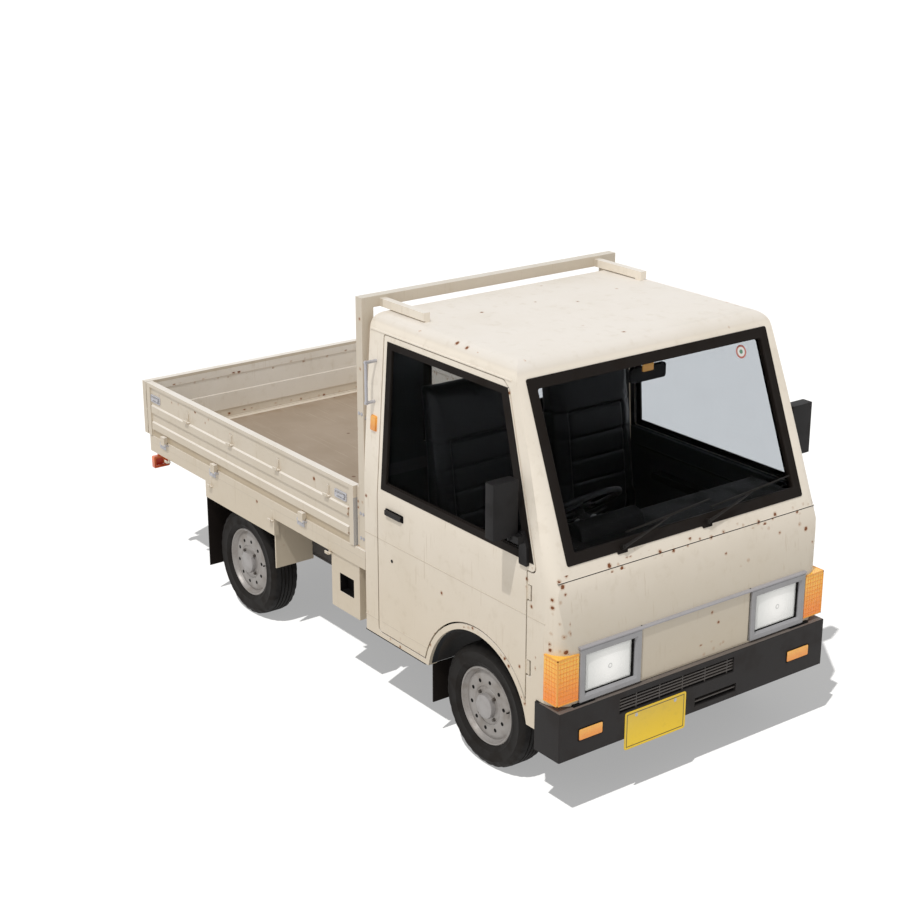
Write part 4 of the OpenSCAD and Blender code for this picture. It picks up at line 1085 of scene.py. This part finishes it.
def side_beads():
    """The crease along the cab, a fainter one low down, and the drip rail under the roof."""
    section = [(-0.002, 0.0), (0.0012, 0.0006), (0.0015, 0.0022), (-0.002, 0.0042)]
    runs = (("rear", 0.358, 0.455), ("door", 0.464, 1.463), ("front", 1.474, 1.580))
    low_runs = {"rear": (0.416, 0.358, 0.455), "door": (0.420, 0.485, 0.812)}
    for side, sign in SIDES:
        def bead_along(bead, ends, share=1.0):
            """Adds a bead between two (x, z) ends; share is its height out of the panel."""
            bead.solid([[on_side(x, z + dz, out * share, sign) for out, dz in section] for x, z in ends])
        for name, a, b in runs:
            bead = Piece()
            bead_along(bead, [(x, 0.8030 + 0.0065 * (x - 0.36)) for x in (a, b)])
            if name in low_runs:
                z, low_a, low_b = low_runs[name]
                bead_along(bead, [(low_a, z), (low_b, z)], 0.7)
            body = "door_" + side if name == "door" else "chassis"
            bead.build("side_bead_%s_%s" % (name, side), bead_paint, "cream_paint", body, smooth=0)
        rail = Piece()
        lip = [(-0.004, 1.7015), (0.0030, 1.7020), (0.0042, 1.7050), (0.0020, 1.7090), (-0.004, 1.7100)]
        rail.solid([[Vector((x, sign * (side_y(1.704) + out), z)) for out, z in lip]
                    for x in (0.362, 1.300)])
        rail.build("drip_rail_" + side, paint, smooth=30)
        marker = Piece()
        for grow, out0, out1 in ((0.003, -0.002, 0.003), (0.0, 0.003, 0.009)):
            corners = rectangle(0.397 - grow, 0.432 + grow, 1.276 - grow, 1.338 + grow, 0.004, 2)
            marker.solid([[on_side(a, b, out, sign) for a, b in corners] for out in (out0, out1)])
        marker.build("side_marker_" + side, marker_amber, "amber_lens", bevel=0.0015)


# painted shade: a darker cream on the creases and the sill fold stands in for the shade along them
bead_paint = grained("bead_paint", (208, 198, 182), (184, 170, 148), 0.5, amount=0.3, specular=0.3)
door_seals()
door_handles()
mirrors()
side_beads()


# ---- load bed -----------------------------------------------------------------------------

GATE_PLANE, SILL_FACE, TAIL_PLANE, LATCH_Z = 0.714, 0.716, -1.6815, 0.886
GATE_HOOKS = (-1.225, -0.800, -0.370, 0.054)
SILL_HOOKS = (-1.456, -1.017, -0.442, 0.052)


def rope_hook(piece, x, top, foot, face, sign, width=0.034):
    """A pressed hook: a stem down the face, and a foot that turns out and up."""
    stem = [(x - 0.006, foot), (x + 0.006, foot), (x + 0.006, top), (x - 0.006, top)]
    piece.solid([[Vector((a, sign * (face + out), b)) for a, b in stem] for out in (-0.001, 0.006)])
    head = rectangle(x - 0.009, x + 0.009, top - 0.016, top, 0.004, 2)
    piece.solid([[Vector((a, sign * (face + out), b)) for a, b in head] for out in (-0.001, 0.0035)])
    half = width / 2
    shelf = [(0.0, foot), (0.020, foot), (0.024, foot + 0.004), (0.024, foot + 0.016), (0.019, foot + 0.016),
             (0.018, foot + 0.006), (0.0, foot + 0.006)]
    piece.solid([[Vector((x + dx, sign * (face + out), z)) for out, z in shelf] for dx in (-half, half)])


def gate_fittings():
    for side, sign in SIDES:
        hooks = Piece()
        for x in GATE_HOOKS:
            rope_hook(hooks, x, 0.926, 0.872, GATE_PLANE, sign)
        hooks.build("gate_hooks_" + side, paint, body="gate_" + side, bevel=0.0012)
        hooks = Piece()
        for x in SILL_HOOKS:
            rope_hook(hooks, x, 0.645, 0.594, SILL_FACE - 0.005, sign, 0.026)
        hooks.build("sill_hooks_" + side, paint, bevel=0.0012)
        def on_gate(a, out, b):
            return Vector((a, sign * (GATE_PLANE + out), b))
        for name, x0, x1 in (("rear", -1.612, -1.517), ("front", 0.107, 0.202)):
            latch(name + "_" + side, "gate_" + side, on_gate, x0, x1, LATCH_Z)

    def on_tail(a, out, b):
        return Vector((TAIL_PLANE - out, a, b))
    for n, y in enumerate((-0.600, 0.500)):
        latch("tail_%d" % n, "tailgate", on_tail, y, y + 0.1, LATCH_Z)


def latch(name, body, at, a0, a1, z0):
    """A recessed drop-side latch: a pressed dish, its frame, and a lever across it."""
    height = 0.040
    loops = []
    for inset, out in ((0.0, -0.001), (0.0, 0.004), (0.002, 0.0055), (0.006, 0.0050),
                       (0.008, 0.0012), (0.008, -0.001)):
        flat = rectangle(a0 + inset, a1 - inset, z0 + inset, z0 + height - inset, 0.006, 3)
        loops.append([at(a, out, b) for a, b in flat])
    ring = Piece().frame(loops)
    lever = rectangle(a0 + 0.014, a1 - 0.012, z0 + 0.015, z0 + 0.026, 0.003, 2)
    ring.solid([[at(a, out, b) for a, b in lever] for out in (0.0015, 0.0075)])
    tip = rectangle(a1 - 0.030, a1 - 0.013, z0 + 0.012, z0 + 0.029, 0.004, 2)
    ring.solid([[at(a, out, b) for a, b in tip] for out in (0.004, 0.0095)])
    ring.build("latch_" + name, zinc, body=body, bevel=0.0008)
    floor = rectangle(a0 + 0.006, a1 - 0.006, z0 + 0.006, z0 + height - 0.006)
    dish = Piece().solid([[at(a, out, b) for a, b in floor] for out in (-0.001, 0.0010)])
    dish.build("latch_dish_" + name, latch_dark, "zinc_steel", body, smooth=0)


HINGE_X = (-1.507, -0.997, -0.184)


def bed_details():
    """Bolts, folds, hinge straps and the strips that close the seam under the gates."""
    bolts = Piece()
    for sign in (-1, 1):
        for z in (0.745, 0.860, 1.318):
            for x in (0.294, 0.314):
                stud(bolts, Vector((x, sign * 0.704, z)), Vector((0, sign, 0)), 0.0055, 0.004)
        for y in (0.655, 0.690):
            for z in (1.30, 0.93):
                stud(bolts, Vector((0.326, sign * y, z)), Vector((1, 0, 0)), 0.005, 0.0035)
    bolts.build("guard_bolts", zinc, smooth=35)
    folds, strips, straps = Piece(), Piece(), Piece()
    for sign in (-1, 1):
        folds.box((-1.648, sign * 0.7145, 0.6585), (0.340, sign * 0.7166, 0.6612))
        strips.box((-1.648, sign * 0.684, 0.6935), (0.262, sign * 0.7140, 0.7005))
        for x in HINGE_X:
            straps.prism(rectangle(x - 0.031, x + 0.031, 0.653, 0.688, 0.003, 2),
                         sign * 0.7150, sign * 0.7180)
            for dx in (-0.018, 0.018):
                stud(straps, Vector((x + dx, sign * 0.7180, 0.670)), Vector((0, sign, 0)), 0.0042, 0.0030)
    strips.box((-1.676, -0.700, 0.6935), (-1.648, 0.700, 0.7005))
    folds.build("sill_fold", bead_paint, "cream_paint", bevel=0.0006)
    strips.build("gate_seal_strips", paint, bevel=0.001)
    straps.build("hinge_straps", zinc, bevel=0.0006)
    # painted shade: a black lining in the side box's mouth stands in for the shade inside it
    low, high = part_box("side_box")
    box = rectangle(low.x + 0.0672, high.x - 0.0462, 0.4352, 0.5228)
    inner = rectangle(low.x + 0.0687, high.x - 0.0477, 0.4367, 0.5213)
    mouth, back = -0.7072, -0.6655
    walls = ((box, mouth), (inner, mouth), (inner, back), (box, back))
    lining = Piece().frame([[Vector((a, y, b)) for a, b in flat] for flat, y in walls])
    lining.box((low.x + 0.0672, -0.6668, 0.4352), (high.x - 0.0462, -0.6650, 0.5228))
    lining.build("side_box_lining", void_black, smooth=0)
    foot = Piece()
    for sign in (-1, 1):
        foot.box((0.356, sign * 0.700, 0.3385), (0.800, sign * 0.7275, 0.3455))
    foot.build("cab_foot_seal", void_black, "seal_rubber", bevel=0.001)
    plate = Piece().box((-0.330, -0.568, 0.425), (-0.030, -0.560, 0.605))
    plate.rod((-0.320, -0.564, 0.433), (-0.040, -0.564, 0.433), 0.008, sides=12)
    plate.build("splash_plate", black_paint, bevel=0.002)


def stud(piece, at, out, radius, height, sides=6):
    """A bolt head on a face: a washer and a hexagon."""
    piece.rod(at - out * 0.001, at + out * height * 0.3, radius * 1.45, sides=18)
    piece.rod(at, at + out * height, radius, radius * 0.92, sides)


def rear_lamps():
    """A case with a red and an amber lens, hung under each end of the bed."""
    y0, y1, z0, z1, x = 0.612, 0.702, 0.505, 0.568, -1.668
    for side, sign in SIDES:
        def loop(inset, depth):
            return [Vector((x - depth, sign * a, b))
                    for a, b in rectangle(y0 + inset, y1 - inset, z0 + inset, z1 - inset, 0.005, 2)]
        case = Piece().frame([loop(0.0, -0.022), loop(0.0, 0.003), loop(0.003, 0.006), loop(0.006, 0.006),
                              loop(0.007, -0.014), loop(0.012, -0.020)])
        case.box((-1.666, sign * 0.640, z1 - 0.003), (-1.654, sign * 0.672, 0.612))
        case = case.build("rear_lamp_case_" + side, lamp_case, "amber_lens", smooth=25)
        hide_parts("rear_lamps")
        for name, a, b, look in (("stop", 0.640, 0.695, red_lens), ("turn", 0.619, 0.639, amber_rear)):
            flat = [(sign * p, q) for p, q in rectangle(a, b, z0 + 0.007, z1 - 0.007, 0.003, 2)]
            lens = Piece().prism(flat, x + 0.001, x - 0.010, "x")
            lens.build("rear_lens_%s_%s" % (name, side), look, "amber_lens", bevel=0.002)


WHEEL_PLANE = 0.6085   # how far out the wheels' middle planes lie
WHEEL = (  # radius and height out of the wheel's plane, round the rim's section
    (0.1525, 0.0440), (0.1690, 0.0480), (0.1690, 0.0560), (0.1650, 0.0585), (0.1610, 0.0570), (0.1580, 0.0500),
    (0.1480, 0.0380), (0.1430, 0.0400), (0.1360, 0.0450), (0.1200, 0.0475), (0.0840, 0.0480), (0.0815, 0.0455),
    (0.0785, 0.0455), (0.0760, 0.0480), (0.0520, 0.0490), (0.0500, 0.0470), (0.0500, 0.0330), (0.0700, 0.0340),
    (0.1340, 0.0340), (0.1430, 0.0240), (0.1430, -0.0460), (0.1600, -0.0585), (0.1690, -0.0560),
    (0.1690, -0.0480), (0.1525, -0.0440))
CAP = ((0.0, 0.036), (0.0530, 0.036), (0.0540, 0.060), (0.0510, 0.0690), (0.0440, 0.0730), (0.0330, 0.0742),
       (0.0120, 0.0746), (0.0, 0.0746))


def wheel_details():
    """Pressed disc with ten holes shown as black discs of painted shade, hub cap, nuts and valve for each
    wheel.
    """
    for end in ("front", "rear"):
        for side, sign in SIDES:
            name = "%s_%s" % (end, side)
            low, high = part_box("rim_" + name)
            centre = (low + high) / 2
            plane, body = sign * WHEEL_PLANE, "wheel_" + name
            hub, out = (centre.x, 0, centre.z), Vector((0, sign, 0))

            def spot(radius, turn, height):
                return Vector((centre.x + radius * math.cos(turn), plane + sign * height,
                               centre.z + radius * math.sin(turn)))
            disc = Piece().lathe([(r, plane + sign * h) for r, h in WHEEL], hub, "y", 72)
            disc = disc.build("wheel_disc_" + name, wheel_grey, body=body, smooth=28)
            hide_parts("rim_" + name)
            bearing = Piece().lathe([(r, plane + sign * h) for r, h in (
                (0.0, -0.030), (0.052, -0.030), (0.052, 0.0345), (0.0, 0.0345))], hub, "y", 32)
            bearing.build("wheel_bearing_" + name, hub_grey, "wheel_steel", body, smooth=30)
            cap = Piece().lathe([(r, plane + sign * h) for r, h in CAP], hub, "y", 40)
            cap.build("hub_cap_" + name, hub_grey, "wheel_steel", body, smooth=35)
            holes, nuts = Piece(), Piece()
            # painted shade: black discs stand in for the ten holes in the disc
            for k in range(10):
                turn = 2 * math.pi * (k + 0.3) / 10
                holes.rod(spot(0.107, turn, 0.040), spot(0.107, turn, 0.0481), 0.0088, 0.0086, 24)
            for k in range(4):
                turn = math.pi / 4 + k * math.pi / 2
                nuts.rod(spot(0.066, turn, 0.047), spot(0.066, turn, 0.0510), 0.0085, 0.0078, 18)
                nuts.rod(spot(0.066, turn, 0.047), spot(0.066, turn, 0.0590), 0.0066, 0.0060, 6)
            holes.build("wheel_holes_" + name, void_black, "wheel_steel", body, smooth=0)
            nuts.build("wheel_nuts_" + name, nut_dark, "wheel_steel", body, smooth=30)
            foot = spot(0.139, 0.17, 0.040)
            valve = Piece().tube([foot, foot + out * 0.010 + Vector((0.003, 0, 0)), foot + out * 0.018],
                                 [0.0040, 0.0034, 0.0038], 10)
            valve.build("valve_" + name, wiper_black, "tyre", body, smooth=40)
            tyre(name, centre, plane, sign, body)


def tyre(name, centre, plane, sign, body, segments=96):
    """A light-truck tyre: ribbed tread with notched shoulders, bead rings and sidewall steps."""
    grooves = (-0.030, -0.010, 0.010, 0.030)
    profile = [(0.1525, -0.0435), (0.1695, -0.0475), (0.1705, -0.0570), (0.1780, -0.0640), (0.1900, -0.0680),
               (0.1920, -0.0695), (0.1960, -0.0695), (0.1980, -0.0690), (0.2150, -0.0712), (0.2300, -0.0716),
               (0.2320, -0.0728), (0.2350, -0.0728), (0.2370, -0.0708), (0.2480, -0.0665), (0.2580, -0.0600),
               (0.2618, -0.0530)]
    tread = []
    for g in grooves:
        tread += [(0.2640, g - 0.0032), (0.2585, g - 0.0020), (0.2585, g + 0.0020), (0.2640, g + 0.0032)]
    full = profile + tread + [(r, -h) for r, h in reversed(profile)]
    shoulder = [i for i, (r, h) in enumerate(full) if r > 0.247 and abs(h) > 0.050]
    rings = []
    for k in range(segments):
        turn = 2 * math.pi * k / segments
        notch = 0.0035 if k % 3 == 0 else 0.0
        ring = []
        for i, (r, h) in enumerate(full):
            reach = r - (notch if i in shoulder else 0.0)
            ring.append(Vector((centre.x + reach * math.cos(turn), plane + h,
                                centre.z + reach * math.sin(turn))))
        rings.append(ring)
    made = Piece().solid(rings, close=True)
    made = made.build("tyre_skin_" + name, rubber_tyre, body=body, smooth=32)
    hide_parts("tyre_" + name)


nut_dark = grained("nut_dark", (96, 92, 88), (78, 62, 50), 0.45, metallic=0.5, amount=0.5)
latch_dark = grained("latch_dark", (206, 204, 202), (170, 164, 158), 0.5, metallic=0.1, amount=0.4)
lamp_case = coloured_lens("lamp_case", (246, 128, 66), (206, 78, 40), 0.020, 0.49, 0.58)
amber_rear = coloured_lens("amber_rear", (246, 150, 60), (220, 110, 44), 0.010, 0.49, 0.58)
gate_fittings()
bed_details()
rear_lamps()
wheel_details()


# ---- cab interior -------------------------------------------------------------------------

SEAT_Y = (0.055, 0.589)
SEAT_MIDDLE = sum(SEAT_Y) / 2
CUSHION = ((0.640, 0.664), (1.128, 0.664), (1.130, 0.700), (1.105, 0.728), (0.900, 0.726), (0.735, 0.716),
           (0.640, 0.718))
BACK = ((0.586, 0.668), (0.690, 0.700), (0.690, 0.800), (0.640, 1.180), (0.582, 1.484), (0.514, 1.488),
        (0.548, 1.180))
CAP_MOVE = 0.022


def padded_form(name, outline, dents, low, high):
    """A pad blown up from a slightly small block; dents(x, y, z) then sinks its seams."""
    y0, y1 = SEAT_Y
    block = Piece().prism(outline, -y1 + 0.022, -y0 - 0.022)
    bmesh.ops.recalc_face_normals(block.mesh, faces=block.mesh.faces)
    data = bpy.data.meshes.new(name)
    block.mesh.to_mesh(data)
    block.mesh.free()
    pad = bpy.data.objects.new(name + "_form", data)
    bpy.context.scene.collection.objects.link(pad)
    rounding = pad.modifiers.new("round", "BEVEL")
    rounding.width, rounding.segments = 0.020, 3
    grid = pad.modifiers.new("grid", "REMESH")
    grid.mode, grid.voxel_size = "VOXEL", 0.009
    apply_modifiers(pad)
    start = [v.co.copy() for v in pad.data.vertices]
    cloth = pad.modifiers.new("cloth", "CLOTH")
    cloth.settings.use_pressure = True
    cloth.settings.uniform_pressure_force = 4.0
    cloth.settings.effector_weights.gravity = 0.0
    cloth.settings.mass = 0.3
    cloth.collision_settings.use_collision = False
    cloth.point_cache.frame_start, cloth.point_cache.frame_end = 1, 20
    for step in range(1, 21):
        bpy.context.scene.frame_set(step)
    apply_modifiers(pad)
    bpy.context.scene.frame_set(1)
    for vertex, origin in zip(pad.data.vertices, start):
        move = vertex.co - origin
        if move.length > CAP_MOVE:
            vertex.co = origin + move * (CAP_MOVE / move.length)
    finer = pad.modifiers.new("finer", "SUBSURF")
    finer.levels = finer.render_levels = 1
    apply_modifiers(pad)
    normals = [v.normal.copy() for v in pad.data.vertices]
    for vertex, normal in zip(pad.data.vertices, normals):
        vertex.co -= normal * dents(*vertex.co)
        for k in range(3):
            vertex.co[k] = min(max(vertex.co[k], low[k]), high[k])
    data = pad.data
    bpy.data.objects.remove(pad)
    return data


def apply_modifiers(piece):
    scene = bpy.context.evaluated_depsgraph_get()
    scene.update()
    data = bpy.data.meshes.new_from_object(piece.evaluated_get(scene))
    piece.modifiers.clear()
    piece.data = data


def groove(distance, width, depth):
    return depth * math.exp(-(distance / width) ** 2)


def cushion_dents(x, y, z):
    """Sewn lines across the middle of the cushion, and one along each bolster."""
    if z < 0.70:
        return groove(z - 0.690, 0.006, 0.003)
    middle = abs(y + SEAT_MIDDLE)
    dent = groove(middle - 0.165, 0.007, 0.007) if x < 1.06 else 0.0
    if middle < 0.165:
        dent += max(groove(x - line, 0.007, 0.006) for line in (0.76, 0.84, 0.92, 1.00, 1.06))
    return dent


def back_dents(x, y, z):
    """The same on the front of the back, with a plain band left at its head."""
    front = 0.690 - max(0.0, z - 0.80) * 0.15
    if x < front - 0.055:
        return 0.0
    middle = abs(y + SEAT_MIDDLE)
    dent = groove(middle - 0.155, 0.007, 0.007) if z < 1.24 else 0.0
    if middle < 0.155:
        dent += max(groove(z - line, 0.007, 0.006) for line in (0.82, 0.92, 1.02, 1.12, 1.24))
    return dent + groove(z - 1.24, 0.007, 0.004)


def seats():
    y0, y1 = SEAT_Y
    forms = (("cushion", CUSHION, cushion_dents, (0.56, -y1, 0.6405), (1.157, -y0, 0.765), 0.75),
             ("back", BACK, back_dents, (0.478, -y1, 0.6405), (0.722, -y0, 1.511), 0.7))
    for name, outline, dents, low, high, fill in forms:
        right = padded_form("seat_" + name, outline, dents, low, high)
        left = right.copy()
        left.transform(Matrix.Scale(-1, 4, (0, 1, 0)))
        left.flip_normals()
        for data, side in ((right, "right"), (left, "left")):
            piece = place("seat_%s_%s" % (name, side), data, "chassis", vinyl, "seat_vinyl", smooth=60)
            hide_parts("seats")
    frames = Piece()
    for sign in (-1, 1):
        for y in (0.12, 0.52):
            frames.box((0.66, sign * y, 0.6395), (1.10, sign * (y + 0.03), 0.660))
        for y in (0.085, 0.559):
            frames.tube([(0.60, sign * y, 0.660), (0.64, sign * y, 0.672), (0.690, sign * y, 0.690)], 0.010, 8)
    frames.build("seat_runners", black_paint, "zinc_steel", bevel=0.002)


DASH_FACE, CAB_FLOOR = 1.386, 0.4255


def dash_fittings():
    pad = Piece().prism([(1.322, 0.986), (1.306, 1.004), (1.304, 1.026), (1.318, 1.040), (1.548, 1.046),
                         (1.552, 0.986)], -0.636, 0.636)
    pad.build("dash_pad", dash_plastic, bevel=0.006, segments=3)
    hood = Piece().prism([(1.352, 0.990), (1.346, 1.050), (1.362, 1.090), (1.400, 1.106), (1.448, 1.092),
                          (1.490, 0.990)], -0.450, -0.115)
    hood.build("gauge_hood", dash_plastic, bevel=0.008, segments=3)
    dials = Piece()
    for y, radius in ((-0.370, 0.026), (-0.290, 0.026), (-0.220, 0.018)):
        dials.lathe([(0.0, 1.352), (radius, 1.352), (radius, 1.3435), (radius - 0.003, 1.3435),
                     (radius - 0.003, 1.3460), (0.0, 1.3460)], (0, y, 1.062), "x", 32)
        needle = ((-0.001, -0.004), (0.001, -0.004), (radius * 0.5, radius * 0.55))
        dials.solid([[Vector((1.3452 + d, y + a, 1.062 + b)) for a, b in needle] for d in (0.0, 0.0006)])
    dials.build("gauges", gauge_face, "dash_plastic", smooth=30)
    panel, lines, knobs = Piece(), Piece(), Piece()
    panel.prism(rectangle(-0.115, 0.115, 0.862, 0.972, 0.006, 3), DASH_FACE + 0.010, DASH_FACE - 0.004, "x")
    for k in range(4):
        for y in (-0.09, 0.02):
            z = 0.936 + 0.008 * k
            lines.box((DASH_FACE - 0.0075, y, z), (DASH_FACE - 0.003, y + 0.07, z + 0.004))
    for y in (-0.080, -0.027, 0.027, 0.080):
        knobs.rod((DASH_FACE - 0.003, y, 0.888), (DASH_FACE - 0.019, y, 0.888), 0.011, 0.0095, 18)
    for side in (-1, 1):
        a, b = sorted((side * 0.52, side * 0.62))
        panel.prism(rectangle(a, b, 0.900, 0.968, 0.006, 3), DASH_FACE + 0.010, DASH_FACE - 0.004, "x")
        for k in range(5):
            z = 0.908 + 0.011 * k
            lines.box((DASH_FACE - 0.0075, a + 0.01, z), (DASH_FACE - 0.003, b - 0.01, z + 0.005))
    lid = [[Vector((DASH_FACE + out, y, z)) for y, z in rectangle(0.150, 0.490, 0.848, 0.968, 0.010, 3)]
           for out in (0.006, -0.004)]
    panel.solid(lid)
    knobs.rod((DASH_FACE - 0.003, 0.32, 0.945), (DASH_FACE - 0.012, 0.32, 0.945), 0.012, sides=20)
    panel.build("dash_panels", dash_plastic, bevel=0.002)
    lines.build("dash_vents", void_black, "dash_plastic", smooth=0)
    knobs.build("dash_knobs", mirror_black, "dash_plastic", bevel=0.001)


def controls():
    """Stalks, pedals, levers, visors, mats, and the doors' inner trim."""
    stalks, start = Piece(), Vector((1.333, -0.3405, 1.080))
    for side in (-1, 1):
        stalks.tube([start, start + Vector((0.004, side * 0.06, 0.004)),
                     start + Vector((-0.006, side * 0.135, 0.012))], [0.009, 0.006, 0.0085], 12)
    down = Vector((0.588, 0, -0.809))
    stalks.tube([start - down * 0.012, start, start + down * 0.06, start + down * 0.10],
                [0.026, 0.034, 0.034, 0.026], 24)
    stalks.build("column_stalks", dash_plastic, smooth=40)
    pedals = Piece()
    for y, width in ((-0.46, 0.022), (-0.36, 0.026), (-0.24, 0.018)):
        pedals.tube([(1.545, y, 0.760), (1.520, y, 0.640), (1.470, y, 0.540)], 0.007, 10)
        tilt = Matrix.Translation((1.466, y, 0.530)) @ Matrix.Rotation(math.radians(38), 4, "Y")
        pedals.box((-0.004, -width, -0.030), (0.004, width, 0.030), tilt)
        for k in range(4):
            z = -0.024 + 0.014 * k
            pedals.box((-0.0055, -width + 0.003, z), (-0.004, width - 0.003, z + 0.006), tilt)
    pedals.build("pedals", mirror_black, bevel=0.001)
    levers = Piece()
    levers.tube([(1.110, 0, 0.645), (1.118, 0, 0.740), (1.150, 0, 0.820)], [0.007, 0.006, 0.005], 12)
    levers.lathe([(0.0, 0.812), (0.014, 0.812), (0.021, 0.826), (0.022, 0.840), (0.015, 0.854), (0.0, 0.858)],
                 (1.152, 0, 0), "z", 24)
    levers.lathe([(0.0, 0.640), (0.044, 0.640), (0.040, 0.655), (0.030, 0.662), (0.033, 0.670), (0.022, 0.678),
                  (0.024, 0.686), (0.010, 0.700), (0.0, 0.700)], (1.112, 0, 0), "z", 28)
    levers.tube([(0.760, 0, 0.650), (0.860, 0, 0.668), (0.990, 0, 0.726)], [0.012, 0.010, 0.010], 12)
    levers.tube([(0.930, 0, 0.699), (1.010, 0, 0.735), (1.018, 0, 0.739)], [0.015, 0.014, 0.009], 14)
    levers.build("cab_levers", mirror_black, smooth=40)
    for side, sign in SIDES:
        visor = Piece().solid([[Vector((1.205 + a, sign * b, 1.689 - 0.05 * a + out)) for a, b in
                                rectangle(-0.070, 0.070, 0.150, 0.480, 0.020, 3)] for out in (0.0, 0.016)])
        visor.build("sun_visor_" + side, vinyl, bevel=0.005)
        edges = rectangle(1.175, 1.555, sign * 0.12, sign * 0.355, 0.03, 3)
        mat = Piece().prism(edges, CAB_FLOOR, CAB_FLOOR + 0.0045, "z")
        for k in range(12):
            x = 1.21 + 0.027 * k
            mat.box((x, sign * 0.14, CAB_FLOOR + 0.004), (x + 0.010, sign * 0.335, CAB_FLOOR + 0.007))
        mat.build("floor_mat_" + side, rubber, smooth=0)
        rest = Piece()

        def rail(x0, x1, z0, z1, depth):
            rest.box((x0, sign * 0.683, z0), (x1, sign * (0.683 - depth), z1))
        rail(0.700, 1.060, 0.845, 0.880, 0.055)
        rail(0.520, 1.360, 0.640, 0.648, 0.004)
        rail(0.520, 1.360, 0.955, 0.962, 0.004)
        rest.rod((1.180, sign * 0.684, 0.800), (1.180, sign * 0.668, 0.800), 0.020, 0.016, 20)
        rest.tube([(1.180, sign * 0.666, 0.800), (1.135, sign * 0.660, 0.770), (1.105, sign * 0.656, 0.752)],
                  [0.007, 0.006, 0.007], 10)
        rest.rod((1.105, sign * 0.660, 0.752), (1.105, sign * 0.632, 0.752), 0.009, 0.011, 14)
        rest.build("door_rest_" + side, dash_plastic, body="door_" + side, bevel=0.004)


gauge_face = grained("gauge_face", (150, 152, 150), (110, 112, 110), 0.4, amount=0.2)
seats()
dash_fittings()
controls()


# ---- underbody ----------------------------------------------------------------------------

def underbody():
    """Propeller shaft with its joints, rear dampers, brake pipes and tail reflectors."""
    rear, front = Vector((-0.690, 0, 0.285)), Vector((0.420, 0, 0.400))
    ahead = (front - rear).normalized()
    shaft = Piece().tube([rear + ahead * 0.05, rear + ahead * 0.08, front - ahead * 0.08, front - ahead * 0.05],
                         [0.022, 0.030, 0.030, 0.022], 24)
    for end, way in ((rear, 1), (front, -1)):
        shaft.rod(end, end + ahead * way * 0.020, 0.040, sides=24)
        shaft.rod(end + ahead * way * 0.018, end + ahead * way * 0.060, 0.018, 0.022, 16)
        for turn in (0, math.pi / 2):
            side = Vector((0, math.cos(turn), math.sin(turn)))
            middle = end + ahead * way * 0.042
            shaft.rod(middle - side * 0.030, middle + side * 0.030, 0.010, sides=14)
    shaft.build("propeller_shaft", black_paint, smooth=35)
    dampers, pipes = Piece(), Piece()
    for sign in (-1, 1):
        foot, head = Vector((-0.700, sign * 0.245, 0.225)), Vector((-0.560, sign * 0.245, 0.520))
        middle = foot.lerp(head, 0.52)
        dampers.rod(foot, middle, 0.024, sides=22)
        dampers.rod(middle, head, 0.029, 0.027, 22)
        for end in (foot, head):
            dampers.rod(end - Vector((0, 0.022, 0)), end + Vector((0, 0.022, 0)), 0.017, sides=18)
        pipes.tube([(-0.763, sign * 0.40, 0.315), (-0.70, sign * 0.30, 0.330), (-0.60, sign * 0.12, 0.37),
                    (-0.30, sign * 0.10, 0.43), (0.30, sign * 0.10, 0.44)], 0.0035, 8)
    dampers.build("rear_dampers", black_paint, smooth=35)
    pipes.build("brake_pipes", zinc, smooth=40)
    for side, sign in SIDES:
        reflector = Piece().lathe([(0.0, -1.6835), (0.026, -1.6835), (0.026, -1.6875), (0.022, -1.6890),
                                   (0.0, -1.6890)], (0, sign * 0.560, 0.735), "x", 32)
        reflector.build("tail_reflector_" + side, red_lens, "amber_lens", "tailgate", smooth=30)


underbody()
